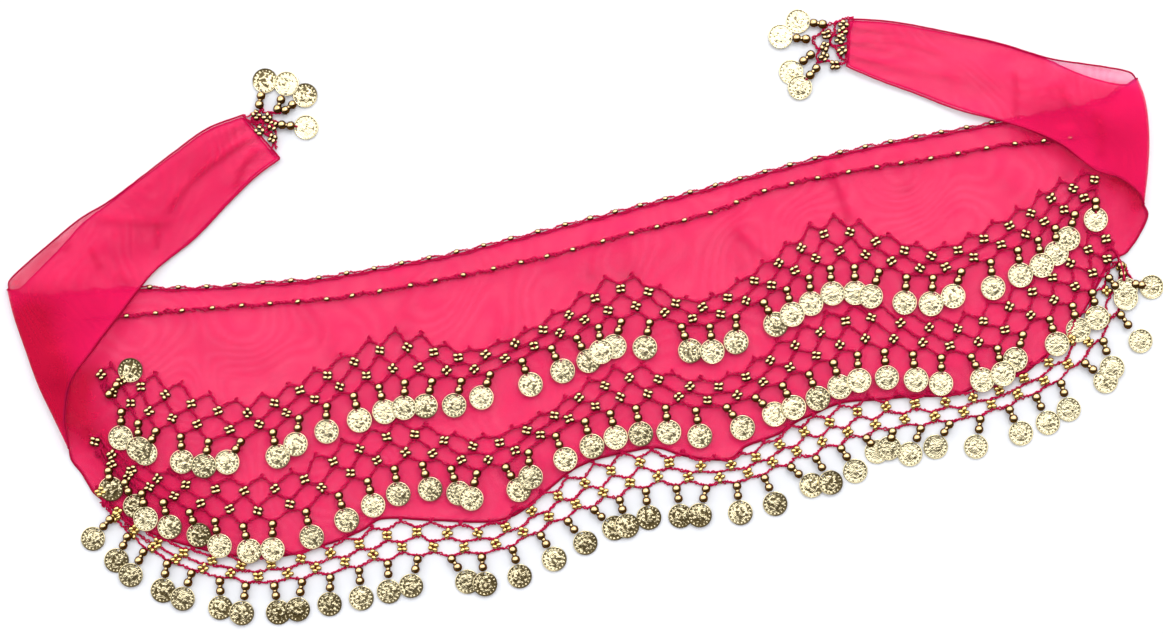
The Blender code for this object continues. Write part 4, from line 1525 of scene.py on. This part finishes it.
class HIPSCARF_OT_tie_ends(bpy.types.Operator):
    """Make the small net and the four strings of coins at each tie's end."""

    bl_idname = "hip_scarf.tie_ends"
    bl_label = "Tie ends"

    def execute(self, context):
        _, thread, gold, _ = scarf_settings(context)
        ends = (
            ("left", LEFT_END_CHAINS, LEFT_END_CLUSTERS, LEFT_END_STRINGS, 31),
            ("right", RIGHT_END_CHAINS, RIGHT_END_CLUSTERS, RIGHT_END_STRINGS, 32),
        )
        down = np.array([0.0, -1.0])
        for side, chains, clusters, strings, seed in ends:
            rng = random.Random(seed)
            laid, beads = [], []
            for i, chain in enumerate(chains):
                chain = drawn(chain)
                rise = ease(np.abs(np.sin(np.arange(len(chain)) * 0.23 + i)))
                laid.append(np.column_stack([chain, 1.4 + 1.6 * rise]))
            for centre in clusters:
                beads += cluster(np.array(centre, float), down, gold.net_bead / MM, rng.uniform(-60, 60), rng)
            for bead in beads:
                bead["at"][2] = 3.2
            show(thread_piece(f"tie_{side}_net_thread", laid, thread), "crochet_thread", f"tie_{side}_net")
            show(bead_piece(f"tie_{side}_net_beads", beads, gold), "gold", f"tie_{side}_net")
            hung = [Dangle(x, y, *aimed((x, y), coin), tone) for x, y, *coin, tone in strings]
            show_strings(f"tie_{side}_coin", f"tie_{side}_coins", hung, thread, gold, rng)
        return {"FINISHED"}


class HIPSCARF_OT_stage(bpy.types.Operator):
    """Make the table, the lights and the camera."""

    bl_idname = "hip_scarf.stage"
    bl_label = "Stage"

    def execute(self, context):
        stage = scarf_settings(context)[3]
        scene = context.scene
        scene.view_settings.view_transform = "Standard"
        scene.cycles.transparent_max_bounces = 32

        work = bmesh.new()
        bmesh.ops.create_grid(work, x_segments=8, y_segments=8, size=4.0)
        mesh = bpy.data.meshes.new("table")
        work.to_mesh(mesh)
        work.free()
        mesh.transform(Matrix.Translation((0, 0, -0.0002)))
        made, tree, shader = new_material("table_white", Roughness=0.65)
        spots = blotches(tree, node(tree, "ShaderNodeTexCoord").outputs["Object"], 2.0)
        pale = tuple(stage.floor_colour)
        darker = tuple(0.985 * c for c in pale)
        tree.links.new(mix_colour(tree, spots, pale, darker), shader.inputs["Base Color"])
        mesh.materials.append(made)
        table = bpy.data.objects.new("table", mesh)
        scene.collection.objects.link(table)

        world = bpy.data.worlds.new("studio")
        scene.world = world
        world.use_nodes = True
        tree = world.node_tree
        back = tree.nodes["Background"]
        way = node(tree, "ShaderNodeTexCoord").outputs["Generated"]
        ramp = node(tree, "ShaderNodeValToRGB", {0: measured(tree, "DOT_PRODUCT", way, (0.08, 0.95, 0.30))})
        stops = ((0.05, (0.05, 0.04, 0.03, 1)), (0.25, (1.0, 1.0, 1.03, 1)))
        for stop, (position, shade) in zip(ramp.color_ramp.elements, stops):
            stop.position, stop.color = position, shade
        seen = node(tree, "ShaderNodeLightPath").outputs["Is Camera Ray"]
        height = node(tree, "ShaderNodeSeparateXYZ", {0: way}).outputs[2]
        low = node(tree, "ShaderNodeMapRange", {
            "Value": height, "From Min": 0.40, "From Max": 0.27, "To Max": 0.5,
        }).outputs[0]
        around = vectors(tree, "MAXIMUM", ramp.outputs[0], low)
        tree.links.new(mix_colour(tree, seen, around, (0.7, 0.7, 0.72)), back.inputs["Color"])
        back.inputs["Strength"].default_value = stage.ambient

        lights = (
            ("key", (0.75, 1.35, 2.2), 0.9, stage.key_power, (1.0, 0.99, 0.97)),
            ("fill", (-0.3, -1.2, 2.8), 2.4, stage.fill_power, (0.97, 0.98, 1.0)),
        )
        for name, place, size, power, tint in lights:
            lamp = bpy.data.lights.new(name, "AREA")
            lamp.shape, lamp.size, lamp.energy, lamp.color = "SQUARE", size, power, tint
            holder = bpy.data.objects.new(name, lamp)
            holder.location = place
            holder.rotation_euler = (-Vector(place)).to_track_quat("-Z", "Y").to_euler()
            holder.visible_glossy = name == "key"
            scene.collection.objects.link(holder)

        lens = bpy.data.cameras.new("camera")
        lens.sensor_width = 36.0
        lens.lens = 36.0 * stage.camera_height / stage.frame_width
        camera = bpy.data.objects.new("camera", lens)
        camera.location = (-0.014, -0.020, stage.camera_height)
        camera.rotation_euler = (0, 0, stage.camera_roll)
        scene.collection.objects.link(camera)
        scene.camera = camera
        return {"FINISHED"}


class HIPSCARF_PT_panel(bpy.types.Panel):
    """The hip scarf's settings and the steps that make it."""

    bl_idname = "HIPSCARF_PT_panel"
    bl_label = "Hip scarf"
    bl_space_type = "VIEW_3D"
    bl_region_type = "UI"
    bl_category = "Hip scarf"

    def draw(self, context):
        for group in scarf_settings(context):
            box = self.layout.box()
            box.label(text=group.bl_rna.description or group.bl_rna.name)
            for name in group.__annotations__:
                box.prop(group, name)
        for step in STEPS:
            self.layout.operator(step.bl_idname)


GROUPS = {
    "hip_scarf_cloth": HipScarfCloth,
    "hip_scarf_thread": HipScarfThread,
    "hip_scarf_gold": HipScarfGold,
    "hip_scarf_stage": HipScarfStage,
}
STEPS = (HIPSCARF_OT_stage, HIPSCARF_OT_cloth, HIPSCARF_OT_waist, HIPSCARF_OT_nets, HIPSCARF_OT_tie_ends)


def register():
    """Makes the classes and the settings known to Blender."""
    for made in (*GROUPS.values(), *STEPS, HIPSCARF_PT_panel):
        bpy.utils.register_class(made)
    for name, group in GROUPS.items():
        setattr(bpy.types.Scene, name, PointerProperty(type=group))


def unregister():
    """Takes the settings and the classes away again."""
    for name in GROUPS:
        delattr(bpy.types.Scene, name)
    for made in reversed((*GROUPS.values(), *STEPS, HIPSCARF_PT_panel)):
        bpy.utils.unregister_class(made)


def declare_sheets():
    """Lists the names of the objects in the scene; nothing is done with the list."""
    shown = [o.name for o in bpy.context.scene.collection.all_objects]


def main():
    register()
    for step in STEPS:
        module, name = step.bl_idname.split(".")
        getattr(getattr(bpy.ops, module), name)()
    declare_sheets()


if __name__ == "__main__":
    main()
